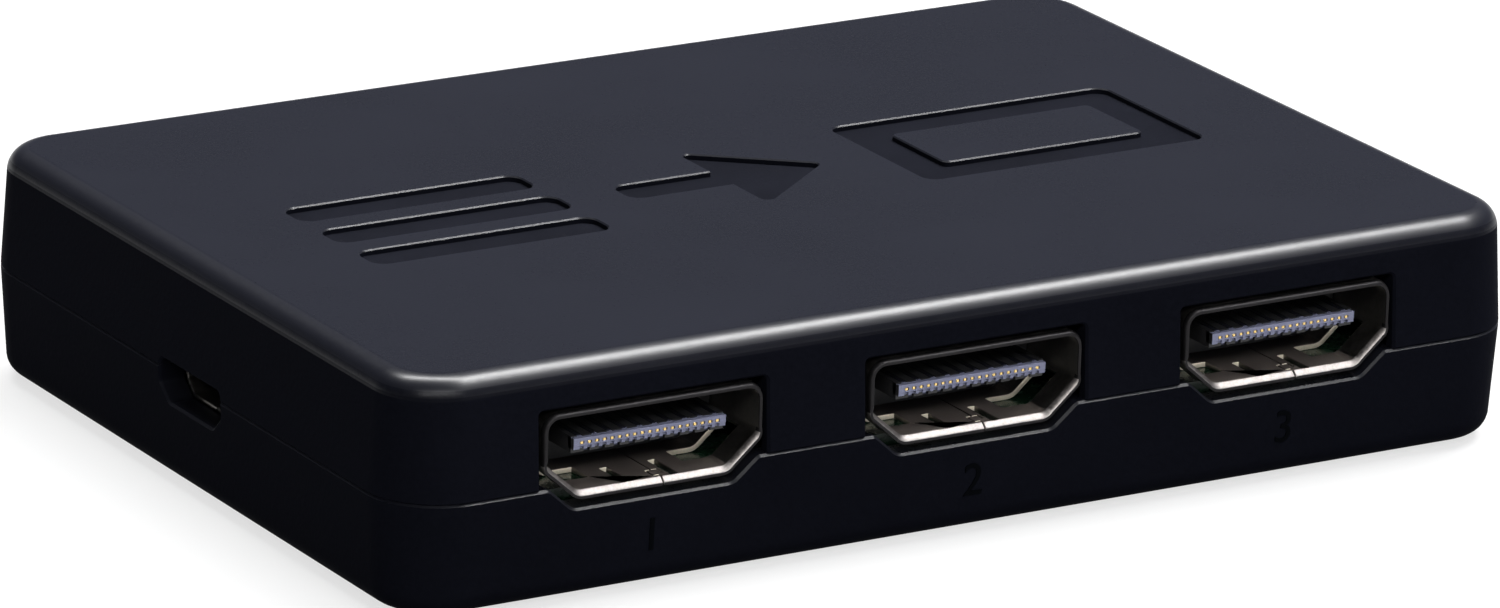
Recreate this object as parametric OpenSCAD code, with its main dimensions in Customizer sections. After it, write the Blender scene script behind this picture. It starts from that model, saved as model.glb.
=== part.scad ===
// Three-input video selector box: a two-part moulded case round one circuit board.
// Millimetres. +Z is up, the inputs face -Y, the power jack faces -X, the output faces +Y.
// The origin is the middle of the surface that the rubber feet stand on.

/* [Case] */
// Length of the case at the parting line
case_w = 77.4; // [76:0.1:95]
// Depth of the case at the parting line
case_d = 54.2; // [52:0.1:75]
// Height of the closed case without its feet
case_h = 14.4; // [13.2:0.1:20]
// Height of the parting line above the board
parting_h = 0.78; // [0.58:0.02:1.18]
// Radius of the upright corners
corner_r = 4.4; // [4:0.1:6]
// Thickness of the side walls
wall = 1.6; // [1.2:0.1:2]
// Thickness of the top panel
roof = 1.6; // [1.2:0.1:2]
// Thickness of the bottom panel
base = 1.6; // [1.2:0.1:2]
// Lean of each half, from the parting line to its outer edge
draft = 0.35; // [0.05:0.05:0.5]
// Rounding of the top edge
top_edge_r = 1.5; // [0.8:0.1:2]
// Rounding of the bottom edge
bottom_edge_r = 1.4; // [0.8:0.1:2]
// Rounding inside the case, where walls meet a panel
inner_edge_r = 0.6; // [0.3:0.1:1]
// Height of the locating lip above the parting line
lip_h = 1; // [0.5:0.1:1.1]
// Thickness of the locating lip
lip_t = 0.7; // [0.4:0.05:0.9]
// Room round the locating lip
lip_gap = 0.1; // [0.05:0.05:0.2]

/* [Sign on the top] */
// Depth of the sunk sign
mark_depth = 0.35; // [0.2:0.05:0.6]
// Stroke of the sign
mark_stroke = 2.8; // [2:0.1:3.4]
// Rounding of the sign's corners
mark_r = 0.9; // [0.3:0.1:1]
// Room between the sign's three figures
mark_gap = 4; // [2:0.5:5]
// Length of the three bars
bar_l = 16; // [12:0.5:18]
// Length of the arrow's shaft
shaft_l = 7; // [4:0.5:9]
// Length of the arrow's head
arrow_l = 7; // [4:0.5:8]
// Width of the arrow's head
arrow_w = 11; // [8:0.5:14]
// Width of the screen
screen_w = 20; // [16:0.5:22]
// Height of the screen
screen_d = 12; // [11:0.5:14]

/* [Feet] */
// Diameter of a rubber foot
foot_d = 8; // [6:0.5:9]
// Thickness of a rubber foot
foot_t = 1.1; // [1:0.1:2]
// Depth of the seat for a foot
foot_seat = 0.8; // [0.3:0.1:0.8]
// Distance from the case's sides to the middle of a foot
foot_inset = 9; // [8:0.5:10]
// Room round a foot in its seat
foot_gap = 0.1; // [0.05:0.05:0.3]

/* [Screws] */
// Distance from the end faces to the middle of a screw boss
boss_inset = 6.4; // [6.2:0.1:7.5]
// Diameter of a screw boss
boss_d = 7; // [6:0.1:7.4]
// Diameter of the spigot that passes through the board
spigot_d = 5; // [4:0.1:5.4]
// Room between a screw boss and the sockets' solder tails
boss_gap = 0.4; // [0.2:0.1:1]
// Diameter of a screw's thread
screw_d = 2; // [1.8:0.1:2.4]
// Length of a screw below its head
screw_l = 7; // [5.5:0.5:8]
// Diameter of a screw head
head_d = 3.8; // [3.2:0.1:4.2]
// Height of a screw head
head_t = 1.4; // [1.1:0.1:1.6]
// Depth of a screw head below the underside
head_sunk = 0.6; // [0.2:0.1:1]
// Length of the cross in a screw head
cross_l = 2.3; // [1.6:0.1:2.6]
// Width of the cross in a screw head
cross_w = 0.6; // [0.4:0.05:0.8]
// Depth of the cross in a screw head
cross_depth = 0.7; // [0.4:0.1:0.9]
// Room round a screw
screw_gap = 0.1; // [0.05:0.05:0.2]

/* [Circuit board] */
// Thickness of the board
board_t = 1.4; // [1:0.1:1.6]
// Height of the top above the board
board_top_h = 8.18; // [8:0.02:8.3]
// Room between the board and the side walls
board_gap = 0.5; // [0.3:0.1:0.8]
// Corner radius of the board
board_corner_r = 2; // [1:0.5:3]
// Room round what passes through the board
hole_gap = 0.2; // [0.1:0.05:0.25]

/* [Video sockets] */
// Width of a socket's opening
socket_w = 14; // [13.6:0.1:14.4]
// Height of a socket's opening
socket_h = 4.55; // [4.4:0.05:4.8]
// Height of the opening's upright sides
socket_side_h = 2.75; // [2.5:0.05:3]
// Width of the opening's floor
socket_floor_w = 9.9; // [9.4:0.1:10.4]
// Thickness of the pressed steel shell
sheet = 0.35; // [0.25:0.05:0.4]
// Length of a socket's shell
socket_l = 11; // [10:0.1:12]
// Depth of the shell's rim behind the case's face
rim_recess = 0.15; // [0:0.05:0.5]
// Room between the shell and the upper case
notch_gap = 0.22; // [0.1:0.02:0.4]
// Room between the shell and the lower case
low_notch_gap = 0.65; // [0.4:0.05:0.8]
// Distance between neighbouring inputs
input_pitch = 21.8; // [20:0.1:22.4]
// Shift of the row of inputs along the case
input_shift = -0.4; // [-1:0.1:1]
// Place of the output along the case
output_x = -6; // [-8:0.5:-3]
// Width of the tongue
tongue_w = 10.1; // [9.9:0.1:10.6]
// Thickness of the tongue
tongue_t = 1; // [0.8:0.05:1.2]
// Height of the tongue's underside above the opening's floor
tongue_z = 2.08; // [1.9:0.02:2.3]
// Depth of the tongue's tip behind the rim
tongue_recess = 0.5; // [0.2:0.1:1]
// Bevel on the tongue's tip
tongue_bevel = 0.2; // [0.1:0.05:0.3]
// Depth of the insulator's wall behind the rim
insulator_depth = 5.6; // [5:0.1:6.5]
// Length of the insulator's rear block
insulator_l = 5; // [4:0.1:5.2]
// Width of a contact
contact_w = 0.3; // [0.2:0.02:0.34]
// Thickness of a contact
contact_t = 0.2; // [0.15:0.01:0.25]
// Distance between neighbouring contacts in one row
contact_pitch = 1; // [0.9:0.02:1.04]
// Length of a contact's solder tail
tail_l = 0.8; // [0.5:0.1:1.2]
// Room round a contact in the insulator
contact_gap = 0.03; // [0.02:0.01:0.05]
// Length of a shell's solder tab along the shell
tab_l = 1.2; // [0.8:0.1:1.6]
// Reach of pins and tabs below the board
pin_below = 0.6; // [0.3:0.1:1]
// Width of a slot in the shell's floor
slot_w = 0.5; // [0.3:0.05:0.7]
// Length of a slot in the shell's floor
slot_l = 2.7; // [2:0.1:3]
// Distance from the rim to the slots
slot_y = 0.4; // [0.3:0.05:0.6]
// Distance from the middle to a slot
slot_x = 1.35; // [1:0.05:1.8]
// Distance from the rim to the shell's corner cut-outs
cutout_y = 2.1; // [1.8:0.1:2.4]
// Length of the shell's corner cut-outs
cutout_l = 1.9; // [1.4:0.1:2.2]
// Distance from the middle to the shell's corner cut-outs
cutout_x = 3.15; // [2.8:0.05:3.6]
// Width of a spring finger in the shell's top
finger_w = 2.2; // [1.6:0.1:2.6]
// Length of a spring finger
finger_l = 4; // [3:0.1:4.4]
// Distance from the middle to a spring finger
finger_x = 2.3; // [1.8:0.1:3]
// Width of the cut round a spring finger
finger_cut = 0.25; // [0.15:0.05:0.35]

/* [Power jack] */
// Place of the jack across the case
jack_y = -0.9; // [-2:0.1:1]
// Width of the jack's opening
jack_w = 6.9; // [6.6:0.1:7.2]
// Height of the jack's opening
jack_h = 1.85; // [1.75:0.05:2]
// Height of the jack's upright sides
jack_side_h = 1.05; // [0.98:0.02:1.2]
// Width of the jack's floor
jack_floor_w = 5.2; // [4.8:0.1:5.6]
// Thickness of the jack's shell
jack_sheet = 0.3; // [0.2:0.05:0.35]
// Length of the jack
jack_l = 5; // [4.5:0.1:5.6]
// Depth of the jack's floor below the board's upper face
jack_sunk = 0.9; // [0.86:0.02:0.94]
// Room between the jack and the wall
jack_wall_gap = 0.15; // [0.1:0.05:0.3]
// Room between the jack's shell and the opening in the case
jack_notch_gap = 0.06; // [0.04:0.02:0.2]
// Width of the jack's tongue
jack_tongue_w = 3.9; // [3.6:0.1:4.2]
// Thickness of the jack's tongue
jack_tongue_t = 0.65; // [0.5:0.05:0.7]
// Length of the jack's rear block
jack_block_l = 1.6; // [1.2:0.1:2]
// Depth of the jack's tongue behind its mouth
jack_tip = 0.7; // [0.5:0.1:1]
// Distance between the jack's contacts
jack_pitch = 0.65; // [0.6:0.01:0.7]
// Width of a jack's contact
jack_contact_w = 0.4; // [0.3:0.02:0.5]
// Distance from the tongue's tip to the jack's contacts
jack_contact_y = 0.3; // [0.1:0.1:0.6]
// Reach of the jack's ears over the board
ear_out = 0.9; // [0.6:0.1:1.2]
// Length of the jack's ears
ear_l = 1.2; // [0.8:0.1:1.6]
// Distance from the jack's ends to the middle of an ear
ear_inset = 1.5; // [1:0.1:1.8]

/* [Select button] */
// Place of the button along the case
button_x = 25; // [24.5:0.1:26]
// Diameter of the button
button_d = 5; // [4:0.1:5.2]
// Bevel round the button's face
button_bevel = 0.4; // [0.2:0.05:0.6]
// Reach of the button beyond the case
button_proud = 0.6; // [0.4:0.1:0.9]
// Travel of the button
button_travel = 0.3; // [0.2:0.05:0.5]
// Room round the button in the case
button_gap = 0.15; // [0.1:0.05:0.3]
// Width of the button's retaining flange beyond the button
flange_edge = 0.8; // [0.5:0.1:1]
// Thickness of retaining flanges
flange_t = 0.8; // [0.6:0.1:1]
// Room between a flange and the wall
flange_gap = 0.1; // [0.05:0.05:0.2]
// Width of the push switch
switch_w = 6; // [5.6:0.1:6.4]
// Height of the push switch
switch_h = 3.5; // [3.3:0.1:4]
// Length of the push switch
switch_l = 3.6; // [3:0.1:4]
// Reach of the switch's terminals
terminal_out = 0.9; // [0.6:0.1:1.2]
// Width of a switch's terminal
terminal_w = 0.8; // [0.6:0.1:1]
// Thickness of a switch's terminal
terminal_t = 0.25; // [0.15:0.05:0.35]
// Distance from the switch's ends to the middle of a terminal
terminal_inset = 0.8; // [0.6:0.1:1.2]
// Diameter of the switch's plunger
plunger_d = 2.8; // [2:0.1:3]
// Reach of the plunger out of the switch
plunger_out = 0.85; // [0.7:0.05:1.2]
// Length of the plunger inside the switch
plunger_in = 1.3; // [1:0.1:1.6]
// Room round the plunger
plunger_gap = 0.06; // [0.04:0.01:0.1]

/* [Status lamps] */
// Place of the first lamp along the case
lamp_x = 10; // [9:0.1:10.4]
// Distance between neighbouring lamps
lamp_pitch = 4.2; // [4.1:0.05:4.3]
// Height of the lamps above the board
lamp_h = 3.68; // [3.58:0.05:3.98]
// Diameter of a lamp
lamp_d = 3; // [2.6:0.1:3.1]
// Length of a lamp in front of its flange
lamp_l = 2.1; // [1.9:0.1:2.2]
// Distance between a lamp's two leads
lead_pitch = 2.54; // [2:0.02:2.6]
// Width of a square lead
lead_w = 0.5; // [0.4:0.05:0.55]
// Run of a lead behind its lamp
lead_run = 1.5; // [1.2:0.1:2]
// Room round a lamp or a window in the case
lens_gap = 0.06; // [0.04:0.01:0.1]
// Width of the retaining edge round a lamp or a window
lens_rim = 0.4; // [0.2:0.05:0.5]

/* [Remote eye] */
// Place of the eye along the case
eye_x = -26; // [-26.6:0.1:-24]
// Height of the window above the board, at its middle
window_h = 3.83; // [3.78:0.05:3.98]
// Width of the window
window_w = 6.8; // [6:0.1:7.2]
// Height of the window
window_t = 3.6; // [3:0.1:3.7]
// Width of the receiver
eye_w = 5.6; // [5:0.1:6]
// Length of the receiver
eye_l = 4; // [3.5:0.1:4.5]
// Height of the receiver
eye_h = 5.8; // [5.6:0.1:6.2]
// Radius of the receiver's lens
eye_r = 1.7; // [1.4:0.1:1.9]
// Distance between the receiver's pins
eye_pitch = 2; // [1.6:0.1:2.2]
// Length of a receiver's pin
eye_pin_l = 1.4; // [1:0.1:1.8]
// Thickness of a receiver's pin
eye_pin_t = 0.4; // [0.2:0.05:0.5]
// Room between the receiver's lens and the window
eye_gap = 0.5; // [0.3:0.1:0.8]

/* [Chips] */
// Width of the switching chip
chip_w = 10; // [8:0.5:10]
// Thickness of a chip
chip_t = 1; // [0.8:0.1:1.4]
// Height of a chip's underside above the board
chip_lift = 0.1; // [0.05:0.05:0.2]
// Thickness of a chip's lead
chip_lead_t = 0.15; // [0.1:0.01:0.2]
// Width of the switching chip's leads
chip_lead_w = 0.22; // [0.15:0.01:0.28]
// Distance between the switching chip's leads
chip_lead_pitch = 0.5; // [0.45:0.01:0.52]
// Reach of a chip's leads
chip_lead_out = 1; // [0.8:0.1:1.2]
// Distance from a chip's side to the bend in its leads
chip_lead_bend = 0.4; // [0.3:0.05:0.5]
// Bare length at a chip's corners
chip_bare = 1; // [0.8:0.1:1.4]
// Length of the control chip
control_l = 9.9; // [8:0.1:10.5]
// Width of the control chip
control_w = 3.9; // [3.5:0.1:4.4]
// Distance between the control chip's leads
control_lead_pitch = 1.27; // [1.1:0.01:1.3]
// Width of the control chip's leads
control_lead_w = 0.42; // [0.3:0.02:0.5]
// Length of the voltage regulator
regulator_l = 6.5; // [6:0.1:7]
// Width of the voltage regulator
regulator_w = 3.5; // [3:0.1:4]
// Height of the voltage regulator
regulator_t = 1.6; // [1.4:0.1:1.8]
// Width of the voltage regulator's cooling tab
regulator_tab_w = 3.2; // [2.8:0.1:3.6]
// Distance between the voltage regulator's leads
regulator_pitch = 2.3; // [1.8:0.1:2.5]
// Width of the voltage regulator's leads
regulator_lead_w = 0.7; // [0.5:0.05:0.9]
// Length of a bulk capacitor
bulk_l = 3.5; // [3:0.1:4]
// Width of a bulk capacitor
bulk_w = 2.8; // [2.4:0.1:3.2]
// Room round a bulk capacitor
bulk_gap = 1.2; // [0.8:0.1:1.6]
// Height of a bulk capacitor
bulk_t = 1.9; // [1.6:0.1:2.2]
// Length of a small chip part
small_l = 1.6; // [1.2:0.1:2]
// Width of a small chip part
small_w = 0.8; // [0.6:0.05:0.9]
// Height of a small chip part
small_t = 0.6; // [0.4:0.05:0.8]
// Distance between the capacitors round the switching chip
capacitor_pitch = 2.5; // [1.5:0.1:3]
// Length of a surge guard
guard_l = 2.5; // [2:0.1:3]
// Width of a surge guard
guard_w = 1.5; // [1.2:0.05:1.6]
// Room between neighbouring small parts
part_gap = 0.2; // [0.1:0.05:0.3]

/* [Hidden] */
$fn = 64;
// A cut runs this far past the face it opens
over = 1;
// Two stacked faces that only touch
touch = 0.05;
foot_proud = foot_t - foot_seat;
// Heights above the underside: the board hangs below the top, the rest goes by the board
board_face = case_h - board_top_h;
parting_z = board_face + parting_h;
lamp_z = board_face + lamp_h;
window_z = board_face + window_h;
upper_h = case_h - parting_z;
roof_z = case_h - roof;
inner_d = case_d / 2 - wall;
board_z = board_face - board_t;
board_w = case_w - 2 * (wall + board_gap);
board_d = case_d - 2 * (wall + board_gap);
// Sockets: the shell stands on the board
floor_z = board_face + sheet;
socket_top = floor_z + socket_h + sheet;
rim_y = case_d / 2 - rim_recess;
tail_end = insulator_depth + insulator_l + contact_t + tail_l;
tab_x = socket_w / 2 + sheet / 2;
tab_places = [insulator_depth / 2, insulator_depth + insulator_l / 2];
input_places = [for (i = [-1, 0, 1]) input_shift + i * input_pitch];
row_top = tongue_z + tongue_t - contact_t;
wide_row = 10;
// Screw bosses stand clear of the sockets
boss_x = case_w / 2 - boss_inset;
boss_y = rim_y - max(tail_end, socket_l) - boss_gap - boss_d / 2;
head_z = head_sunk + head_t;
// Power jack: its contacts lie flat on the board
jack_x = case_w / 2 - wall - jack_wall_gap;
jack_z = board_face - jack_sunk;
// Button train, from the wall inwards
button_z = board_face + switch_h / 2;
flange_y = inner_d - flange_gap;
plunger_y = flange_y - flange_t - touch;
switch_y = plunger_y - plunger_out;
eye_y = inner_d - flange_gap - flange_t - eye_gap - eye_r;
// Parts on the board stand in the space between the sockets
row_y = rim_y - tail_end - guard_l;
chip_place = [2, 0];
control_place = [-18, 5.5];
regulator_place = [-22, -5];

// Rounded flat plate outline
module rounded_plate(w, d, r) {
    square([w - 2 * r, d], center = true);
    square([w, d - 2 * r], center = true);
    for (x = [-1, 1], y = [-1, 1])
        translate([x * (w / 2 - r), y * (d / 2 - r)])
            circle(r);
}

// Section of a leaning wall with a rounded edge, from its foot at z 0
module edge_section(e, h, lean, r) {
    slope = atan(lean / h);
    u = e - (h - r) * tan(slope) - r / cos(slope);
    tip = [u + r * cos(slope), h - r + r * sin(slope)];
    polygon([[0, 0], [e, 0], tip, [u, h - r], [u, h], [0, h]]);
    intersection() {
        translate([u, h - r])
            circle(r);
        polygon([[u, h - r], tip + 2 * (tip - [u, h - r]), [u + 3 * r, h + 2 * r], [u, h + 2 * r]]);
    }
}

// One half of a box with leaning walls, round corners and a rounded edge
module half_box(w, d, corner, h, lean, r) {
    straight_w = w - 2 * corner;
    straight_d = d - 2 * corner;
    translate([-straight_w / 2, -straight_d / 2, 0])
        cube([straight_w, straight_d, h]);
    for (turn = [0, 180])
        rotate([0, 0, turn]) {
            translate([straight_w / 2, 0, 0])
                rotate([90, 0, 0])
                    linear_extrude(straight_d, center = true)
                        edge_section(corner, h, lean, r);
            translate([0, straight_d / 2, 0])
                rotate([90, 0, 90])
                    linear_extrude(straight_w, center = true)
                        edge_section(corner, h, lean, r);
            for (side = [0, -90])
                translate([straight_w / 2, straight_d / 2 * (side == 0 ? 1 : -1), 0])
                    rotate([0, 0, side])
                        rotate_extrude(angle = 90)
                            edge_section(corner, h, lean, r);
        }
}

// Opening with upright sides and slanted lower corners, grown by t; its floor is at z 0
function opening(w, h, side_h, floor_w, t) =
    let (a = w / 2, b = floor_w / 2, drop = h - side_h)
    let (l = norm([a - b, drop]), nx = drop / l, nz = (b - a) / l)
    let (c = nx * b + t, shoulder = (c - nx * (a + t)) / nz, low = (c + nz * t) / nx)
    [[-a - t, h + t], [a + t, h + t], [a + t, shoulder], [low, -t], [-low, -t], [-a - t, shoulder]];
function socket_opening(t) = opening(socket_w, socket_h, socket_side_h, socket_floor_w, t);
function jack_opening(t) = opening(jack_w, jack_h, jack_side_h, jack_floor_w, t);

// Stretches an XZ outline along +Y, or a YZ outline along X
module along_y(from, to) {
    translate([0, to, 0])
        rotate([90, 0, 0])
            linear_extrude(to - from)
                children();
}
module across_x(w) {
    rotate([90, 0, 90])
        linear_extrude(w, center = true)
            children();
}

// Places: a case that stands on its feet, a socket's rim, the jack's mouth, the button's axis
module lifted() { translate([0, 0, foot_proud]) children(); }
module at_input(i) { translate([input_places[i - 1], -rim_y, floor_z]) children(); }
module at_output() { translate([output_x, rim_y, floor_z]) rotate([0, 0, 180]) children(); }
module at_sockets() {
    for (i = [1 : 3])
        at_input(i)
            children();
    at_output()
        children();
}
module at_jack() { translate([-jack_x, jack_y, jack_z]) rotate([0, 0, -90]) children(); }
module at_bosses() {
    for (x = [-boss_x, boss_x], y = [-boss_y, boss_y])
        translate([x, y, 0])
            children();
}
module at_feet() {
    for (x = [-1, 1], y = [-1, 1])
        translate([x * (case_w / 2 - foot_inset), y * (case_d / 2 - foot_inset), 0])
            children();
}
module at_lamp(i) { translate([lamp_x + (i - 1) * lamp_pitch, inner_d - flange_gap, lamp_z]) children(); }
module facing_back() { rotate([-90, 0, 0]) children(); }

// Cuts through both halves of the case: jack and button
module shared_cuts() {
    at_jack()
        along_y(-wall - over, jack_wall_gap / 2)
            polygon(jack_opening(jack_sheet + jack_notch_gap));
    translate([button_x, inner_d - over, button_z])
        facing_back()
            cylinder(d = button_d + 2 * button_gap, h = wall + 2 * over);
}

// Room in the locating lip for everything that crosses the parting line
module lip_cuts() {
    socket_half = socket_w / 2 + sheet + notch_gap + touch;
    flange_half = button_d / 2 + flange_edge;
    at_sockets()
        translate([-socket_half, -over, -sheet])
            cube([2 * socket_half, wall + 2 * over, socket_h]);
    at_jack()
        translate([-jack_w / 2 - jack_sheet - jack_notch_gap, -wall - over, 0])
            cube([jack_w + 2 * (jack_sheet + jack_notch_gap), wall + 2 * over, jack_h + lip_h]);
    translate([button_x - flange_half, inner_d - over, parting_z])
        cube([2 * flange_half, wall + 2 * over, 2 * lip_h]);
}

// Generic sign: three bars, an arrow and a screen
module sign() {
    sign_l = bar_l + shaft_l + arrow_l + screen_w + 2 * mark_gap;
    bar_step = (screen_d - mark_stroke) / 2;
    arrow_x = -sign_l / 2 + bar_l + mark_gap;
    for (i = [-1, 0, 1])
        translate([(bar_l - sign_l) / 2, i * bar_step])
            rounded_plate(bar_l, mark_stroke, mark_r);
    translate([arrow_x, -mark_stroke / 2])
        square([shaft_l, mark_stroke]);
    translate([arrow_x + shaft_l, 0])
        polygon([[0, -arrow_w / 2], [arrow_l, 0], [0, arrow_w / 2]]);
    translate([(sign_l - screen_w) / 2, 0])
        difference() {
            rounded_plate(screen_w, screen_d, mark_r);
            square([screen_w - 2 * mark_stroke, screen_d - 2 * mark_stroke], center = true);
        }
}

module top_case() {
    window = [window_w + 2 * lens_gap, window_t + 2 * lens_gap];
    color("#16181d")
        lifted()
            difference() {
                union() {
                    difference() {
                        translate([0, 0, parting_z])
                            half_box(case_w, case_d, corner_r, upper_h, draft, top_edge_r);
                        translate([0, 0, parting_z])
                            half_box(case_w - 2 * wall, case_d - 2 * wall, corner_r - wall,
                                upper_h - roof, 0, inner_edge_r);
                    }
                    at_bosses() {
                        translate([0, 0, board_face])
                            cylinder(d = boss_d, h = roof_z - board_face + roof / 2);
                        translate([0, 0, board_z])
                            cylinder(d = spigot_d, h = board_t + over);
                    }
                }
                translate([0, 0, parting_z])
                    linear_extrude(lip_h + lip_gap)
                        difference() {
                            rounded_plate(case_w - 2 * (wall - lip_t - lip_gap),
                                case_d - 2 * (wall - lip_t - lip_gap), corner_r - wall + lip_t + lip_gap);
                            rounded_plate(case_w - 2 * wall - touch, case_d - 2 * wall - touch,
                                corner_r - wall);
                        }
                at_bosses()
                    translate([0, 0, board_z - over])
                        cylinder(d = screw_d + 2 * screw_gap,
                            h = head_z + screw_l + screw_gap - board_z + over);
                at_sockets()
                    translate([-socket_w / 2 - sheet - notch_gap, -over, parting_z - floor_z - over])
                        cube([socket_w + 2 * (sheet + notch_gap), wall + over + touch,
                            socket_top + notch_gap - parting_z + over]);
                shared_cuts();
                for (i = [1 : 3])
                    at_lamp(i)
                        facing_back()
                            cylinder(d = lamp_d + 2 * lens_gap, h = wall + over);
                translate([eye_x - window[0] / 2, inner_d - over, window_z - window[1] / 2])
                    cube([window[0], wall + 2 * over, window[1]]);
                translate([0, 0, case_h - mark_depth])
                    linear_extrude(mark_depth + over)
                        sign();
            }
}

module bottom_case() {
    color("#14161b")
        lifted()
            difference() {
                union() {
                    difference() {
                        translate([0, 0, parting_z])
                            mirror([0, 0, 1])
                                half_box(case_w, case_d, corner_r, parting_z, draft, bottom_edge_r);
                        translate([0, 0, parting_z])
                            mirror([0, 0, 1])
                                half_box(case_w - 2 * wall, case_d - 2 * wall, corner_r - wall,
                                    parting_z - base, 0, inner_edge_r);
                    }
                    difference() {
                        translate([0, 0, parting_z - over / 2])
                            linear_extrude(lip_h + over / 2)
                                difference() {
                                    rounded_plate(case_w - 2 * (wall - lip_t), case_d - 2 * (wall - lip_t),
                                        corner_r - wall + lip_t);
                                    rounded_plate(case_w - 2 * wall, case_d - 2 * wall, corner_r - wall);
                                }
                        lip_cuts();
                    }
                    at_bosses()
                        translate([0, 0, base / 2])
                            cylinder(d = boss_d, h = board_z - base / 2);
                }
                at_bosses() {
                    translate([0, 0, -over])
                        cylinder(d = head_d + 2 * screw_gap, h = head_z + over);
                    cylinder(d = screw_d + 2 * screw_gap, h = board_z + over);
                }
                at_feet()
                    translate([0, 0, -over])
                        cylinder(d = foot_d + 2 * foot_gap, h = foot_seat + over);
                at_sockets()
                    along_y(-over, wall + touch)
                        polygon(socket_opening(sheet + low_notch_gap));
                shared_cuts();
            }
}

module case_screws() {
    color("#7d8288")
        lifted()
            at_bosses()
                difference() {
                    union() {
                        translate([0, 0, head_sunk])
                            cylinder(d = head_d, h = head_t);
                        translate([0, 0, head_sunk])
                            cylinder(d = screw_d, h = head_t + screw_l);
                    }
                    for (turn = [0, 90])
                        translate([0, 0, head_sunk + cross_depth / 2])
                            rotate([0, 0, turn])
                                cube([cross_l, cross_w, cross_depth], center = true);
                }
}

module foot(side_x, side_y) {
    color("#24262a")
        translate([side_x * (case_w / 2 - foot_inset), side_y * (case_d / 2 - foot_inset), 0])
            cylinder(d = foot_d, h = foot_t);
}

module circuit_board() {
    jack_half = jack_w / 2 + jack_sheet + hole_gap;
    flange_half = button_d / 2 + flange_edge + hole_gap;
    flange_back = flange_y - flange_t - button_travel - hole_gap;
    color("#1c5a37")
        lifted()
            difference() {
                translate([0, 0, board_z])
                    linear_extrude(board_t)
                        rounded_plate(board_w, board_d, board_corner_r);
                translate([0, 0, board_z - over]) {
                    at_bosses()
                        cylinder(d = spigot_d + 2 * hole_gap, h = board_t + 2 * over);
                    translate([button_x - flange_half, flange_back, 0])
                        cube([2 * flange_half, wall, board_t + 2 * over]);
                    for (i = [1 : 3], side = [-1, 1])
                        translate([lamp_x + (i - 1) * lamp_pitch + side * lead_pitch / 2, lead_drop_y(), 0])
                            cylinder(d = lead_w * sqrt(2) + hole_gap, h = board_t + 2 * over);
                }
                at_sockets()
                    for (side = [-1, 1], y = tab_places)
                        translate([side * tab_x, y, -sheet - board_t / 2])
                            cube([sheet + 2 * hole_gap, tab_l + 2 * hole_gap, board_t + 2 * over],
                                center = true);
                at_jack()
                    translate([-jack_half, -wall, jack_sunk - board_t - over])
                        cube([2 * jack_half, wall + jack_l + hole_gap, board_t + 2 * over]);
            }
}

// Video socket, its rim at y 0 and the opening's floor at z 0
module socket_shell() {
    color("#c9cbc8") {
        difference() {
            along_y(0, socket_l)
                difference() {
                    polygon(socket_opening(sheet));
                    polygon(socket_opening(0));
                }
            for (side = [0, 1])
                mirror([side, 0, 0]) {
                    translate([cutout_x, cutout_y, -over])
                        cube([socket_w / 2, cutout_l, over + socket_h - socket_side_h - sheet]);
                    translate([slot_x, slot_y, -over])
                        cube([slot_w, slot_l, 2 * over]);
                    for (edge = [0, finger_w])
                        translate([finger_x + edge, slot_y, socket_h - touch])
                            cube([finger_cut, finger_l, over]);
                    translate([finger_x, slot_y, socket_h - touch])
                        cube([finger_w + finger_cut, finger_cut, over]);
                }
            translate([-socket_w / 2, insulator_depth + insulator_l - tail_l / 2, -over])
                cube([socket_w, socket_l, over + touch]);
        }
        for (side = [-1, 1], y = tab_places)
            translate([side * tab_x - sheet / 2, y - tab_l / 2, -sheet - board_t - pin_below])
                cube([sheet, tab_l, socket_h / 2 + sheet + board_t + pin_below]);
    }
}

// Bent strip from the tongue to the board: z is the strip's underside
module contact_strip(z, w) {
    back = insulator_depth + insulator_l;
    across_x(w)
        polygon([[tongue_recess + tongue_bevel / 2, z], [back, z], [back, -sheet],
            [back + contact_t + tail_l, -sheet], [back + contact_t + tail_l, contact_t - sheet],
            [back + contact_t, contact_t - sheet], [back + contact_t, z + contact_t],
            [tongue_recess + tongue_bevel / 2, z + contact_t]]);
}

module at_contacts(count) {
    for (i = [0 : count - 1])
        translate([(i - (count - 1) / 2) * contact_pitch, 0, 0])
            children();
}

module socket_contacts() {
    color("#d9b45a") {
        at_contacts(wide_row)
            contact_strip(row_top, contact_w);
        at_contacts(wide_row - 1)
            contact_strip(tongue_z, contact_w);
    }
}

// Groove for a contact strip, open towards the strip's own face of the tongue
module contact_groove(z) {
    groove_w = contact_w + 2 * contact_gap;
    translate([-groove_w / 2, 0, z])
        cube([groove_w, socket_l + over, contact_t + contact_gap]);
}

module socket_insulator() {
    tip = tongue_recess;
    color("#23242b")
        difference() {
            union() {
                along_y(insulator_depth, insulator_depth + insulator_l)
                    polygon(socket_opening(-contact_gap));
                translate([0, 0, tongue_z])
                    across_x(tongue_w)
                        polygon([[tip, tongue_bevel], [tip + tongue_bevel, 0],
                            [insulator_depth + over, 0], [insulator_depth + over, tongue_t],
                            [tip + tongue_bevel, tongue_t], [tip, tongue_t - tongue_bevel]]);
            }
            at_contacts(wide_row)
                contact_groove(row_top);
            at_contacts(wide_row - 1)
                contact_groove(tongue_z - contact_gap);
        }
}

// Power jack, its mouth at y 0 and its floor at z 0
module jack_shell() {
    color("#c4c6c4") {
        along_y(0, jack_l)
            difference() {
                polygon(jack_opening(jack_sheet));
                polygon(jack_opening(0));
            }
        for (side = [0, 1], y = [ear_inset, jack_l - ear_inset])
            mirror([side, 0, 0])
                translate([jack_w / 2, y - ear_l / 2, jack_sunk])
                    cube([jack_sheet + hole_gap + ear_out, ear_l, jack_sheet]);
    }
}

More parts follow.
